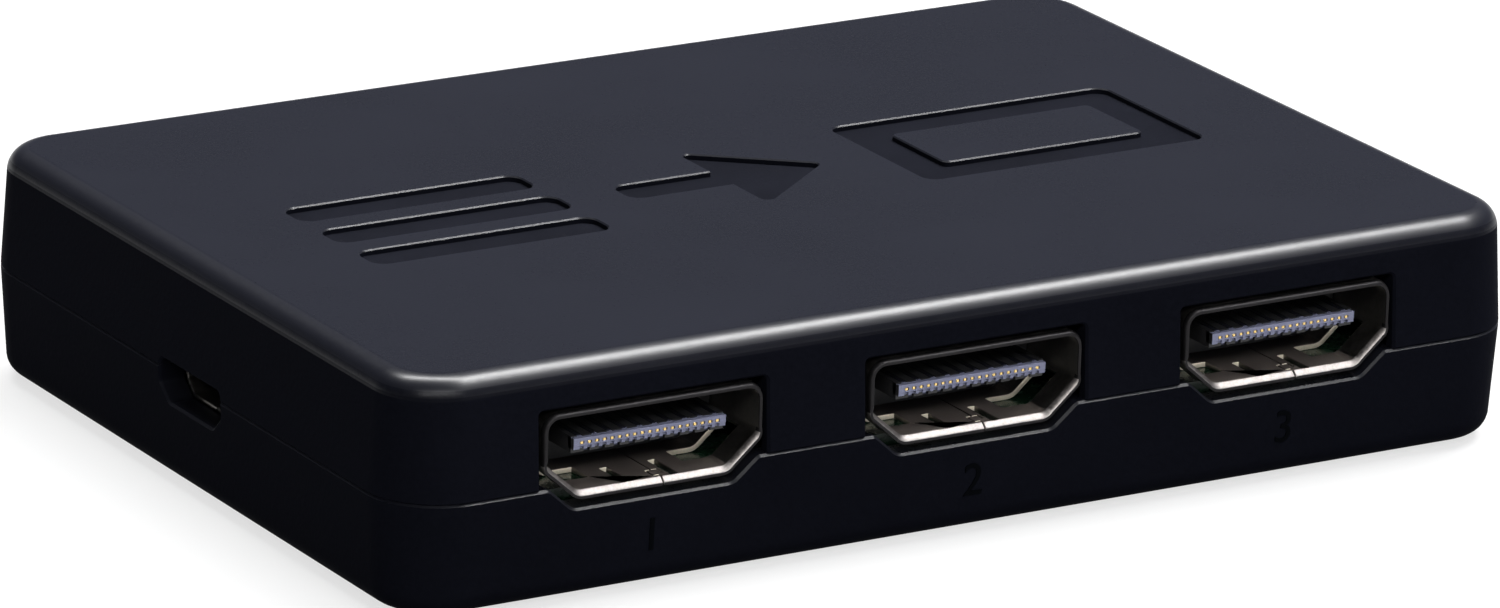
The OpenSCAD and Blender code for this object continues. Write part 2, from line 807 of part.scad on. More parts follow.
module at_jack_contacts() {
    for (i = [-2 : 2])
        translate([i * jack_pitch, 0, jack_sunk])
            children();
}

module jack_insulator() {
    front = jack_l - jack_block_l;
    color("#1d1e22")
        difference() {
            union() {
                along_y(front, jack_l)
                    polygon(jack_opening(-contact_gap));
                translate([-jack_tongue_w / 2, jack_tip, jack_sunk])
                    cube([jack_tongue_w, front - jack_tip + touch, jack_tongue_t]);
            }
            at_jack_contacts()
                translate([-jack_contact_w / 2 - contact_gap, 0, -contact_gap])
                    cube([jack_contact_w + 2 * contact_gap, jack_l + over, contact_t + contact_gap]);
        }
}

module jack_contacts() {
    front = jack_tip + jack_contact_y;
    color("#d9b45a")
        at_jack_contacts()
            translate([-jack_contact_w / 2, front, 0])
                cube([jack_contact_w, jack_l - front + hole_gap + tail_l, contact_t]);
}

module select_button() {
    reach = case_d / 2 + button_proud - flange_y;
    color("#1b1d22")
        lifted()
            translate([button_x, flange_y - flange_t, button_z])
                facing_back() {
                    cylinder(d = button_d + 2 * flange_edge, h = flange_t);
                    cylinder(d = button_d, h = flange_t + reach - button_bevel);
                    translate([0, 0, flange_t + reach - button_bevel])
                        cylinder(d1 = button_d, d2 = button_d - 2 * button_bevel, h = button_bevel);
                }
}

module push_switch() {
    color("#202226")
        lifted()
            difference() {
                translate([button_x - switch_w / 2, switch_y - switch_l, board_face])
                    cube([switch_w, switch_l, switch_h]);
                translate([button_x, switch_y + over, button_z])
                    rotate([90, 0, 0])
                        cylinder(d = plunger_d + 2 * plunger_gap,
                            h = over + plunger_in + button_travel + plunger_gap);
            }
}

module push_switch_terminals() {
    color("#c9cbc8")
        lifted()
            for (side = [0, 1], y = [terminal_inset, switch_l - terminal_inset])
                translate([button_x, switch_y - y, board_face])
                    mirror([side, 0, 0])
                        translate([switch_w / 2, -terminal_w / 2, 0])
                            cube([terminal_out, terminal_w, terminal_t]);
}

module switch_plunger() {
    color("#b9322c")
        lifted()
            translate([button_x, plunger_y, button_z])
                rotate([90, 0, 0])
                    cylinder(d = plunger_d, h = plunger_out + plunger_in);
}

function lead_drop_y() = inner_d - flange_gap - flange_t - lead_run;

module lamp(i) {
    color("#d8dfe4")
        lifted()
            at_lamp(i)
                facing_back() {
                    translate([0, 0, -flange_t])
                        cylinder(d = lamp_d + 2 * lens_rim, h = flange_t);
                    cylinder(d = lamp_d, h = lamp_l - lamp_d / 2);
                    translate([0, 0, lamp_l - lamp_d / 2])
                        intersection() {
                            sphere(d = lamp_d);
                            cylinder(d = lamp_d + over, h = lamp_d);
                        }
                }
}

module lamp_leads(i) {
    drop = lamp_z - board_z + pin_below;
    color("#b9bcbc")
        lifted()
            for (side = [-1, 1])
                translate([lamp_x + (i - 1) * lamp_pitch + side * lead_pitch / 2, lead_drop_y(), lamp_z]) {
                    translate([-lead_w / 2, -lead_w / 2, -lead_w / 2])
                        cube([lead_w, lead_run + lead_w / 2, lead_w]);
                    translate([-lead_w / 2, -lead_w / 2, -drop])
                        cube([lead_w, lead_w, drop]);
                }
}

module eye_window() {
    color("#2a1114")
        lifted()
            translate([eye_x, 0, window_z]) {
                translate([-window_w / 2, inner_d - flange_gap - touch, -window_t / 2])
                    cube([window_w, wall + flange_gap + touch - draft, window_t]);
                translate([-window_w / 2 - lens_rim, inner_d - flange_gap - flange_t,
                    -window_t / 2 - lens_rim])
                    cube([window_w + 2 * lens_rim, flange_t, window_t + 2 * lens_rim]);
            }
}

module eye_receiver() {
    color("#191a1e")
        lifted()
            translate([eye_x, eye_y, board_face]) {
                translate([-eye_w / 2, -eye_l, chip_lift])
                    cube([eye_w, eye_l, eye_h - chip_lift]);
                translate([0, 0, window_h - touch])
                    intersection() {
                        sphere(r = eye_r);
                        translate([-eye_r, 0, -eye_r])
                            cube(2 * eye_r);
                    }
            }
}

module eye_leads() {
    color("#b9bcbc")
        lifted()
            for (i = [-1, 0, 1])
                translate([eye_x + i * eye_pitch - lead_w / 2, eye_y - eye_l - eye_pin_l, board_face])
                    cube([lead_w, eye_pin_l, eye_pin_t]);
}

// Chip body lifted off the board
module chip(w, d, t) {
    translate([-w / 2, -d / 2, chip_lift])
        cube([w, d, t]);
}

// Row of gull-wing leads along the side of a chip that lies at distance half from its middle
module lead_row(count, pitch, w, half) {
    shoulder = chip_lift + chip_t / 2;
    for (i = [0 : count - 1])
        translate([(i - (count - 1) / 2) * pitch, 0, 0])
            across_x(w)
                polygon([[half, shoulder], [half + chip_lead_bend, shoulder], [half + chip_lead_bend, 0],
                    [half + chip_lead_out, 0], [half + chip_lead_out, chip_lead_t],
                    [half + chip_lead_bend + chip_lead_t, chip_lead_t],
                    [half + chip_lead_bend + chip_lead_t, shoulder + chip_lead_t],
                    [half, shoulder + chip_lead_t]]);
}

module on_board(place) {
    lifted()
        translate([place[0], place[1], board_face])
            children();
}

module switching_chip() {
    color("#17181b")
        on_board(chip_place)
            chip(chip_w, chip_w, chip_t);
}

module switching_chip_leads() {
    count = 2 * floor((chip_w / 2 - chip_bare) / chip_lead_pitch);
    color("#c2c4c2")
        on_board(chip_place)
            for (turn = [0, 90, 180, 270])
                rotate([0, 0, turn])
                    lead_row(count, chip_lead_pitch, chip_lead_w, chip_w / 2);
}

module control_chip() {
    color("#17181b")
        on_board(control_place)
            chip(control_l, control_w, chip_t);
}

module control_chip_leads() {
    count = floor((control_l - chip_bare) / control_lead_pitch) + 1;
    color("#c2c4c2")
        on_board(control_place)
            for (turn = [0, 180])
                rotate([0, 0, turn])
                    lead_row(count, control_lead_pitch, control_lead_w, control_w / 2);
}

module voltage_regulator() {
    color("#17181b")
        on_board(regulator_place)
            chip(regulator_l, regulator_w, regulator_t);
}

module regulator_leads() {
    color("#c2c4c2")
        on_board(regulator_place) {
            lead_row(1, regulator_pitch, regulator_tab_w, regulator_w / 2);
            rotate([0, 0, 180])
                lead_row(3, regulator_pitch, regulator_lead_w, regulator_w / 2);
        }
}

module bulk_capacitors() {
    color("#c98b2b")
        for (side = [-1, 1])
            on_board([regulator_place[0] + regulator_l / 2 + bulk_gap,
                regulator_place[1] + side * (bulk_w + bulk_gap) / 2])
                translate([0, -bulk_w / 2, 0])
                    cube([bulk_l, bulk_w, bulk_t]);
}

// Small chip part, its length across a row
module small_part(w, l) {
    translate([-w / 2, -l / 2, 0])
        cube([w, l, small_t]);
}

module ceramic_capacitors() {
    ring = chip_w / 2 + chip_lead_out + small_l;
    color("#b59a73")
        on_board(chip_place)
            for (turn = [0, 90, 180, 270])
                rotate([0, 0, turn])
                    for (i = [-1, 0, 1])
                        translate([i * capacitor_pitch, ring, 0])
                            small_part(small_w, small_l);
}

module resistors() {
    beside = guard_w + 1.5 * part_gap + small_w / 2;
    color("#222428")
        for (x = input_places, side = [-1, 1], end = [-1, 1])
            on_board([x + side * beside, end * (small_l + part_gap) / 2 - row_y])
                small_part(small_w, small_l);
}

module surge_guards() {
    places = concat([for (x = input_places) [x, -row_y]], [[output_x, row_y]]);
    color("#191a1d")
        for (place = places, side = [-1, 1])
            on_board([place[0] + side * (guard_w + part_gap) / 2, place[1]])
                small_part(guard_w, guard_l);
}

top_case();
bottom_case();
case_screws();
foot(-1, -1);  // foot_front_left
foot(1, -1);  // foot_front_right
foot(-1, 1);  // foot_back_left
foot(1, 1);  // foot_back_right
circuit_board();
lifted() at_input(1) socket_shell();  // input_1_shell
lifted() at_input(2) socket_shell();  // input_2_shell
lifted() at_input(3) socket_shell();  // input_3_shell
lifted() at_output() socket_shell();  // output_shell
lifted() at_input(1) socket_insulator();  // input_1_insulator
lifted() at_input(2) socket_insulator();  // input_2_insulator
lifted() at_input(3) socket_insulator();  // input_3_insulator
lifted() at_output() socket_insulator();  // output_insulator
lifted() at_input(1) socket_contacts();  // input_1_contacts
lifted() at_input(2) socket_contacts();  // input_2_contacts
lifted() at_input(3) socket_contacts();  // input_3_contacts
lifted() at_output() socket_contacts();  // output_contacts
lifted() at_jack() jack_shell();  // power_jack_shell
lifted() at_jack() jack_insulator();  // power_jack_insulator
lifted() at_jack() jack_contacts();  // power_jack_contacts
select_button();
push_switch();
push_switch_terminals();
switch_plunger();
lamp(1);  // lamp_1
lamp(2);  // lamp_2
lamp(3);  // lamp_3
lamp_leads(1);  // lamp_1_leads
lamp_leads(2);  // lamp_2_leads
lamp_leads(3);  // lamp_3_leads
eye_window();
eye_receiver();
eye_leads();
switching_chip();
switching_chip_leads();
control_chip();
control_chip_leads();
voltage_regulator();
regulator_leads();
bulk_capacitors();
ceramic_capacitors();
resistors();
surge_guards();
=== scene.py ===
"""Finish of a three-input video switch box, built as a Blender add-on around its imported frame."""
import math

import bmesh
import bpy
from mathutils import Matrix, Vector


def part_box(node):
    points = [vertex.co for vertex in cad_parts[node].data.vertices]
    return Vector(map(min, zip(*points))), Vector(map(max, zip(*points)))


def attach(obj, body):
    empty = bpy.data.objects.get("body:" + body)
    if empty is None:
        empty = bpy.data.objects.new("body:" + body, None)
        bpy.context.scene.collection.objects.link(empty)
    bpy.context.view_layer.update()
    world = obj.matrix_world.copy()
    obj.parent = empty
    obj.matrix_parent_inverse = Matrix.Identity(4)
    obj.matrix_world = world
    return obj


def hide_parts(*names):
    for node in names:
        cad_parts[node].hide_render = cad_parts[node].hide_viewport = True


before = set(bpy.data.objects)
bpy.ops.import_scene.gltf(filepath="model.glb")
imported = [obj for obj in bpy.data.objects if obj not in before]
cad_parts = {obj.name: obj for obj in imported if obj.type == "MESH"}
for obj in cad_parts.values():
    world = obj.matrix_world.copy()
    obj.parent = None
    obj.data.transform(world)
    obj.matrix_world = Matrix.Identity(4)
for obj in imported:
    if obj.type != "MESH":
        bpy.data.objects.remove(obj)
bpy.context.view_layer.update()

bl_info = {
    "name": "Video switch box",
    "version": (1, 0, 0),
    "blender": (4, 5, 0),
    "location": "3D View > Sidebar > Switch Box",
    "description": "Case, sockets, controls and stage of a three-input video switch box",
    "category": "Object",
}

MM = 0.001
INPUTS = ("input_1", "input_2", "input_3")
SOCKETS = INPUTS + ("output",)
LAMPS = ("lamp_1", "lamp_2", "lamp_3")
FEET = ("foot_front_left", "foot_front_right", "foot_back_left", "foot_back_right")
# Height of the circuit board's upper face in millimetres: the parting line and the camera's aim follow it
BOARD_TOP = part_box("circuit_board")[1][2] / MM
# Straight edges keep their sharpness past this angle, rounder ones are shaded smooth
SHARP = math.radians(38)


# Settings


def linear(hex_text):
    """Linear red, green and blue of an sRGB hex value."""
    levels = [int(hex_text[i:i + 2], 16) / 255 for i in (1, 3, 5)]
    return tuple(v / 12.92 if v <= 0.04045 else ((v + 0.055) / 1.055) ** 2.4 for v in levels)


def length(name, description, default_mm):
    return bpy.props.FloatProperty(
        name=name, description=description, default=default_mm * MM, unit="LENGTH", precision=5)


def colour(name, description, hex_text):
    return bpy.props.FloatVectorProperty(
        name=name, description=description, default=linear(hex_text), subtype="COLOR", min=0, max=1)


def count(name, description, default):
    return bpy.props.IntProperty(name=name, description=description, default=default, min=1)


def ratio(name, description, default):
    return bpy.props.FloatProperty(name=name, description=description, default=default)


def watts(name, description, default):
    return bpy.props.FloatProperty(name=name, description=description, default=default, unit="POWER")


def degrees(name, description, default):
    return bpy.props.FloatProperty(
        name=name, description=description, default=math.radians(default), subtype="ANGLE")


def spot(name, description, default):
    return bpy.props.FloatVectorProperty(
        name=name, description=description, default=default, unit="LENGTH", precision=5)


class SwitchBoxCase(bpy.types.PropertyGroup):
    """Shape of the two moulded case halves."""
    parting: length("Parting line", "Height of the joint between the halves", BOARD_TOP + 0.78)
    corner: length("Corner radius", "Radius of the upright corners", 4.4)
    draft: length("Draft", "How far a wall leans in from the parting line to its end", 0.35)
    top_edge: length("Top edge radius", "Rounding of the edge round the top", 1.5)
    bottom_edge: length("Bottom edge radius", "Rounding of the edge round the underside", 1.4)
    inner_edge: length("Inner edge radius", "Rounding inside the shell", 0.6)
    wall: length("Wall", "Thickness of walls, roof and floor", 1.6)
    upper_edge: length("Upper parting edge", "Chamfer of the upper half at the joint", 0.08)
    lower_edge: length("Lower parting edge", "Chamfer of the lower half at the joint", 0.15)
    lip: length("Lip", "Thickness and height of the lip inside the joint", 0.7)
    lip_gap: length("Lip clearance", "Clearance of the lip in its rebate", 0.12)
    arris: length("Arris", "Chamfer of the outer edges of holes", 0.14)
    upper_gap: length("Notch clearance above", "Gap between a socket and the upper half", 0.22)
    lower_gap: length("Notch clearance below", "Gap between a socket and the lower half", 0.65)
    notch_round: length("Notch rounding", "Rounding of a notch where it meets the parting line", 0.55)
    jack_gap: length("Jack clearance", "Gap between the power jack's opening and the case", 0.36)
    hole_gap: length("Hole clearance", "Clearance round the button", 0.15)
    lens_gap: length("Lens clearance", "Clearance round the lamps and the window", 0.06)
    foot_gap: length("Foot clearance", "Clearance round a foot in its seat", 0.1)


class SwitchBoxSign(bpy.types.PropertyGroup):
    """Sunk sign on the top: three lines that lead through an arrow to one screen."""
    depth: length("Depth", "Depth of the sign", 0.35)
    chamfer: length("Chamfer", "Chamfer round the sign", 0.08)
    stroke: length("Stroke", "Width of every stroke", 2.8)
    rounding: length("Rounding", "Rounding of the strokes' corners", 0.9)
    gap: length("Gap", "Gap between the groups of the sign", 4.0)
    bar: length("Line length", "Length of each line", 16.0)
    bar_pitch: length("Line pitch", "Distance from line to line", 4.6)
    shaft: length("Shaft length", "Length of the arrow's shaft", 7.0)
    head: length("Head length", "Length of the arrow's head", 7.0)
    head_width: length("Head width", "Width of the arrow's head", 11.0)
    screen_width: length("Screen width", "Width of the screen", 20.0)
    screen_depth: length("Screen depth", "Depth of the screen", 12.0)
    number_height: length("Number height", "Height of the numbers on the front", 2.1)
    number_drop: length("Number drop", "From the parting line down to a number's middle", 3.9)
    number_relief: length("Number relief", "How far a number stands out of the wall", 0.06)


class SwitchBoxSocket(bpy.types.PropertyGroup):
    """Shape of a video socket, seen from its mouth."""
    opening_width: length("Opening width", "Inside width of the mouth", 14.0)
    opening_height: length("Opening height", "Inside height of the mouth", 4.55)
    side_height: length("Side height", "Height of the upright sides", 2.75)
    floor_width: length("Floor width", "Inside width of the floor", 9.9)
    sheet: length("Sheet", "Thickness of the shell's sheet", 0.35)
    top_bend: length("Top bend", "Inside bend radius of the upper corners", 0.75)
    side_bend: length("Side bend", "Inside bend radius under the upright sides", 0.55)
    floor_bend: length("Floor bend", "Inside bend radius beside the floor", 0.9)
    rim_round: length("Rim rounding", "Rounding of the sheet's cut edges", 0.08)
    flare: length("Flare", "How far the floor opens down at the mouth", 0.32)
    taper: length("Taper", "How much thinner the sheet is at the rim", 0.14)
    flare_depth: length("Flare depth", "From the rim to where the flare starts", 0.34)
    tongue_width: length("Tongue width", "Width of the tongue", 10.1)
    tongue_low: length("Tongue height", "Height of the tongue's underside above the floor", 2.08)
    tongue: length("Tongue thickness", "Thickness of the tongue", 1.0)
    tongue_tip: length("Tongue tip", "From the rim to the tongue's tip", 0.5)
    block: length("Block depth", "From the rim to the insulator's block", 5.6)
    block_length: length("Block length", "Length of the insulator's block", 5.0)
    contact_width: length("Contact width", "Width of a contact", 0.3)
    contact: length("Contact thickness", "Thickness of a contact", 0.2)
    pitch: length("Contact pitch", "Distance between two contacts of a row", 1.0)
    contacts: count("Contacts", "Contacts in the upper row", 10)


class SwitchBoxJack(bpy.types.PropertyGroup):
    """Shape of the power jack, seen from its mouth."""
    opening_width: length("Opening width", "Inside width of the mouth", 6.9)
    opening_height: length("Opening height", "Inside height of the mouth", 1.85)
    side_height: length("Side height", "Height of the upright sides", 1.05)
    floor_width: length("Floor width", "Inside width of the floor", 5.2)
    sheet: length("Sheet", "Thickness of the shell's sheet", 0.3)
    bend: length("Bend", "Inside bend radius of the corners", 0.35)
    shell_length: length("Length", "Length of the shell", 5.0)
    rim_round: length("Rim rounding", "Rounding of the sheet's cut edges", 0.1)


class SwitchBoxControls(bpy.types.PropertyGroup):
    """Shape of the button, lamps, window, feet and screws."""
    button: length("Button", "Diameter of the button", 5.0)
    button_edge: length("Button edge", "Rounding round the button's face", 0.4)
    button_dish: length("Button dish", "Depth of the hollow in the button's face", 0.18)
    flange: length("Flange", "Thickness of the flanges behind the back wall", 0.8)
    lamp: length("Lamp", "Diameter of a lamp's lens", 3.0)
    lens_rim: length("Lens rim", "How far a lens's flange stands out", 0.4)
    window_edge: length("Window edge", "Rounding round the window's face", 0.25)
    foot_edge: length("Foot edge", "Rounding round a foot's tread", 0.3)
    screw_head: length("Screw head", "Diameter of a screw's head", 3.8)
    screw_head_height: length("Head height", "Height of a screw's head", 1.4)
    screw_shank: length("Shank", "Diameter of a screw's thread", 2.0)
    thread: length("Thread pitch", "Distance from thread to thread", 0.5)
    cross_length: length("Cross length", "Length of the cross recess", 2.3)
    cross_width: length("Cross width", "Width of the cross recess", 0.6)
    cross_depth: length("Cross depth", "Depth of the cross recess", 0.7)
    screw_gap: length("Screw clearance", "Clearance round a screw's head", 0.1)


class SwitchBoxFinish(bpy.types.PropertyGroup):
    """Colours of the finishes."""
    case: colour("Case", "Moulded case", "#0e0f15")
    number: colour("Numbers", "Raised numbers on the front", "#050608")
    button: colour("Button", "Select button", "#1b1c20")
    rubber: colour("Rubber", "Feet", "#141414")
    plating: colour("Plating", "Plated socket shells", "#7f7c78")
    scraped: colour("Scraped plating", "Floors of the socket shells", "#6b635e")
    drawn: colour("Drawn plating", "Flares of the socket shells", "#9d9895")
    # Bare cut edges of the shells, and painted shade on the rim's front and on the rim above the upright
    # sides
    sheared_and_shade_painted: colour("Sheared edges", "Cut edges of the socket shells", "#2b2a2b")
    # Painted glint on the edges inside the socket shells that face the mouth
    painted_glint: colour("Burnished edges", "Pressed edges inside the socket shells", "#e8dfca")
    zinc: colour("Zinc", "Screws", "#8f9194")
    gold: colour("Gold", "Contacts", "#f0cf86")
    # Painted shade: contacts behind their gilt tips, dark where the shell's roof shades the tongue's top
    nickel: colour("Nickel", "Contacts behind their gilt tips", "#3b3d49")
    tin: colour("Tin", "Leads and terminals", "#c2c4c4")
    nylon: colour("Nylon", "Insulators", "#73768f")
    # The insulators' nylon painted near black behind the nose: painted shade, where the shell's roof shades
    # the tongue
    nylon_with_painted_shade: colour("Black nylon", "Insulators behind their noses", "#121215")
    mask: colour("Solder mask", "Circuit board", "#10281a")
    epoxy: colour("Chip resin", "Chips", "#1a1a1b")
    tantalum: colour("Capacitor resin", "Bulk capacitors", "#c98d2e")
    ceramic: colour("Ceramic", "Small parts", "#8d7b66")
    lens: colour("Lens", "Status lamps", "#e6ecef")
    window: colour("Window", "Remote eye window", "#2a0d12")
    plunger: colour("Plunger", "Push switch plunger", "#a8302a")


class SwitchBoxStage(bpy.types.PropertyGroup):
    """Camera, light and floor."""
    azimuth: degrees("Azimuth", "Camera's turn round the box", -31.0713)
    elevation: degrees("Elevation", "Camera's height angle", 18.0139)
    roll: degrees("Roll", "Camera's lean to the side", 1.5391)
    distance: length("Distance", "From the camera to its target", 620.54)
    target: spot("Target", "Point in the middle of the picture", (0.1965 * MM, 0, (BOARD_TOP - 0.1731) * MM))
    lens: ratio("Lens", "Focal length in millimetres on a 36 mm wide sensor", 245.12)
    floor_radius: length("Floor radius", "Radius of the floor", 4000)
    sky: ratio("Sky", "Brightness of the room on the right", 0.2)
    sky_dark: ratio("Dark sky", "Brightness of the room on the left", 0.01)
    sky_edge: ratio("Sky edge", "Sideways share of a direction where the room is bright or dark", 0.5)
    sky_tint: colour("Sky tint", "Tint of the room all round", "#cfd5f2")


# Soft boxes: what each is, its power in watts, its middle in metres, its length and width in millimetres
SOFT_BOXES = {
    "strip": ("strip above on the right", 11.0, (0.5, -0.09, 0.87), 580, 55),
    "cross": ("strip across the top", 32.0, (0.17, 0.235, 1.0), 1100, 85),
    "corner": ("strip in front on the left", 6.5, (-0.27, -0.7, 0.5), 1000, 40),
    "front": ("low box in front", 0.6, (0.52, -0.92, 0.1), 350, 110),
    "slope": ("panel in front on the right", 1.9, (0.54, -0.54, 0.79), 600, 350),
}


def soft_box_settings():
    """Properties of every soft box, by its key and what they set."""
    settings = {}
    for key, (what, power, place, long, wide) in SOFT_BOXES.items():
        title = key.title()
        settings[key + "_power"] = watts(title + " power", "Power of the " + what, power)
        settings[key + "_place"] = spot(title + " place", "Middle of the " + what, place)
        settings[key + "_length"] = length(title + " length", "Length of the " + what, long)
        settings[key + "_width"] = length(title + " width", "Width of the " + what, wide)
    return settings


SwitchBoxStage.__annotations__.update(soft_box_settings())


class SwitchBoxSettings(bpy.types.PropertyGroup):
    """All that a user would change on the box."""
    case: bpy.props.PointerProperty(type=SwitchBoxCase)
    sign: bpy.props.PointerProperty(type=SwitchBoxSign)
    socket: bpy.props.PointerProperty(type=SwitchBoxSocket)
    jack: bpy.props.PointerProperty(type=SwitchBoxJack)
    controls: bpy.props.PointerProperty(type=SwitchBoxControls)
    finish: bpy.props.PointerProperty(type=SwitchBoxFinish)
    stage: bpy.props.PointerProperty(type=SwitchBoxStage)


# Outlines and meshes


def rounded(corners, radii, steps=8):
    """Outline through the corners, each rounded by its radius: points and their outward directions."""
    points = []
    total = len(corners)
    for i, (corner, radius) in enumerate(zip(corners, radii)):
        here = Vector(corner)
        to_last = (Vector(corners[i - 1]) - here).normalized()
        to_next = (Vector(corners[(i + 1) % total]) - here).normalized()
        half = to_last.angle(to_next) / 2
        bisector = (to_last + to_next).normalized()
        turn = to_last.cross(to_next)
        out = -bisector
        # The corner bends inwards where the outline, walked anticlockwise, turns right
        bends_in = turn > 0
        if radius <= 0:
            points.append((here, -out if bends_in else out))
            continue
        centre = here + bisector * (radius / math.sin(half))
        start = here + to_last * (radius / math.tan(half)) - centre
        sweep = math.pi - 2 * half
        if turn > 0:
            sweep = -sweep
        for k in range(steps + 1):
            direction = Matrix.Rotation(sweep * k / steps, 2) @ start
            outward = direction.normalized()
            points.append((centre + direction, -outward if bends_in else outward))
    return points


def rounded_points(corners, radii, steps=8):
    return [point for point, _ in rounded(corners, radii, steps)]


def box_corners(x0, y0, x1, y1):
    return [(x0, y0), (x1, y0), (x1, y1), (x0, y1)]


def rounded_box(x0, y0, x1, y1, radius, steps=6):
    return rounded_points(box_corners(x0, y0, x1, y1), [radius] * 4, steps)


def grown(corners, distance):
    """The corners of an anticlockwise outline moved outwards by a distance."""
    moved = []
    total = len(corners)
    for i, corner in enumerate(corners):
        here = Vector(corner)
        along_last = (here - Vector(corners[i - 1])).normalized()
        along_next = (Vector(corners[(i + 1) % total]) - here).normalized()
        out_last = Vector((along_last.y, -along_last.x))
        out_next = Vector((along_next.y, -along_next.x))
        moved.append(here + (out_last + out_next) * (distance / (1 + out_last.dot(out_next))))
    return moved


def linked(name, data):
    """A new object in the scene."""
    piece = bpy.data.objects.new(name, data)
    bpy.context.scene.collection.objects.link(piece)
    return piece


def new_object(name, points, faces):
    """A closed mesh object with its faces pointing outwards."""
    mesh = bpy.data.meshes.new(name)
    mesh.from_pydata([tuple(p) for p in points], [], faces)
    shape = bmesh.new()
    shape.from_mesh(mesh)
    bmesh.ops.remove_doubles(shape, verts=shape.verts, dist=1e-8)
    bmesh.ops.recalc_face_normals(shape, faces=shape.faces)
    shape.to_mesh(mesh)
    shape.free()
    return linked(name, mesh)


def lofted(rings):
    """Points and faces through rings of equal length, capped at both ends."""
    total = len(rings[0])
    points = [point for ring in rings for point in ring]
    faces = []
    for r in range(len(rings) - 1):
        for i in range(total):
            j = (i + 1) % total
            faces.append((r * total + i, r * total + j, (r + 1) * total + j, (r + 1) * total + i))
    faces.append(tuple(range(total)))
    faces.append(tuple((len(rings) - 1) * total + i for i in range(total)))
    return points, faces


def prism(outline, low, high, place=Matrix()):
    """Points and faces of an outline drawn out from low to high along Z, then placed."""
    rings = [[place @ Vector((p[0], p[1], z)) for p in outline] for z in (low, high)]
    return lofted(rings)


def looped(loops):
    """Points and faces through loops of equal length, the last joined to the first again."""
    total = len(loops[0])
    points = [p for loop in loops for p in loop]
    faces = []
    for a in range(len(loops)):
        b = (a + 1) % len(loops)
        for i in range(total):
            j = (i + 1) % total
            faces.append((a * total + i, a * total + j, b * total + j, b * total + i))
    return points, faces


def turned(profile, place, steps=48):
    """Points and faces of a profile of radius and height turned about Z, then placed."""
    rings = []
    for radius, height in profile:
        rings.append([
            place @ Vector((radius * math.cos(t), radius * math.sin(t), height))
            for t in (2 * math.pi * k / steps for k in range(steps))])
    return lofted(rings)


def joined(*solids):
    """Points and faces of several solids as one set."""
    points, faces = [], []
    for some_points, some_faces in solids:
        start = len(points)
        points.extend(some_points)
        faces.extend(tuple(start + i for i in face) for face in some_faces)
    return points, faces


def cube(low, high):
    return prism(box_corners(low[0], low[1], high[0], high[1]), low[2], high[2])


def settle(piece):
    """Turns a piece's modifiers into its mesh."""
    graph = bpy.context.evaluated_depsgraph_get()
    mesh = bpy.data.meshes.new_from_object(
        piece.evaluated_get(graph), preserve_all_data_layers=True, depsgraph=graph)
    piece.modifiers.clear()
    old = piece.data
    piece.data = mesh
    bpy.data.meshes.remove(old)
    mesh.name = piece.name


def cut(piece, solids):
    """Cuts solids that don't meet each other out of a piece."""
    cutter = new_object(piece.name + "_cutter", *joined(*solids))
    boolean = piece.modifiers.new("Cut", "BOOLEAN")
    boolean.operation = "DIFFERENCE"
    boolean.solver = "EXACT"
    boolean.object = cutter
    settle(piece)
    bpy.data.objects.remove(cutter)


def bevelled(piece, width, segments=2):
    """Rounds a piece's sharp edges, or chamfers them where there is one segment."""
    shape = bmesh.new()
    shape.from_mesh(piece.data)
    bmesh.ops.remove_doubles(shape, verts=shape.verts, dist=0.002 * MM)
    bmesh.ops.dissolve_limit(shape, angle_limit=math.radians(0.4), verts=shape.verts, edges=shape.edges)
    weight = shape.edges.layers.float.new("bevel_weight_edge")
    for edge in shape.edges:
        if len(edge.link_faces) == 2 and edge.calc_face_angle() > SHARP:
            edge[weight] = 1
    shape.to_mesh(piece.data)
    shape.free()
    bevel = piece.modifiers.new("Arris", "BEVEL")
    bevel.width = width
    bevel.segments = segments
    bevel.limit_method = "WEIGHT"
    bevel.use_clamp_overlap = False
    bevel.miter_outer = "MITER_ARC"
    settle(piece)


def shaded(piece):
    """Shades a piece smooth between its sharp edges, with flat faces kept flat."""
    piece.data.shade_smooth()
    piece.data.set_sharp_from_angle(angle=SHARP)
    normals = piece.modifiers.new("Flat faces", "WEIGHTED_NORMAL")
    normals.keep_sharp = True
    settle(piece)


def soften(piece, width, segments=2):
    bevelled(piece, width, segments)
    shaded(piece)


def finished(piece, material, body, slot, *nodes):
    """Dresses a piece, fixes it to its body and lets it stand for CAD nodes."""
    piece.data.materials.clear()
    piece.data.materials.append(material)
    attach(piece, body)
    if nodes:
        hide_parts(*nodes)


def dress_faces(piece, material, chosen):
    """Gives the faces that chosen picks a finish of their own."""
    piece.data.materials.append(material)
    index = len(piece.data.materials) - 1
    for face in piece.data.polygons:
        if chosen(face):
            face.material_index = index


# Materials


def add_node(tree, kind, inputs=None, **settings):
    """Adds a node with its settings; an input is a value or the socket that feeds it."""
    node = tree.nodes.new(kind)
    for name, value in settings.items():
        setattr(node, name, value)
    for name, value in (inputs or {}).items():
        if isinstance(value, bpy.types.NodeSocket):
            tree.links.new(value, node.inputs[name])
        else:
            node.inputs[name].default_value = value
    return node


def blank(name):
    """A node material with no nodes yet."""
    material = bpy.data.materials.new(name)
    material.use_nodes = True
    material.node_tree.nodes.clear()
    return material


def per_mm(size):
    """Texture scale of a pattern whose features are so many millimetres wide."""
    return 1 / (size * MM)


# Shader inputs by the names that the finishes give them
SHADER_INPUTS = {
    "ior": "IOR", "level": "Specular IOR Level", "metallic": "Metallic", "clear": "Transmission Weight"}
# Range of the two noises' sum that a finish spreads its colours and its roughness over
MOTTLE = {"From Min": 0.7, "From Max": 1.3}
# Range of pointiness over which an edge wears, and how far it takes on the worn colour
WORN = {"From Min": 0.53, "From Max": 0.6, "To Max": 0.5}
FINISHES = {}


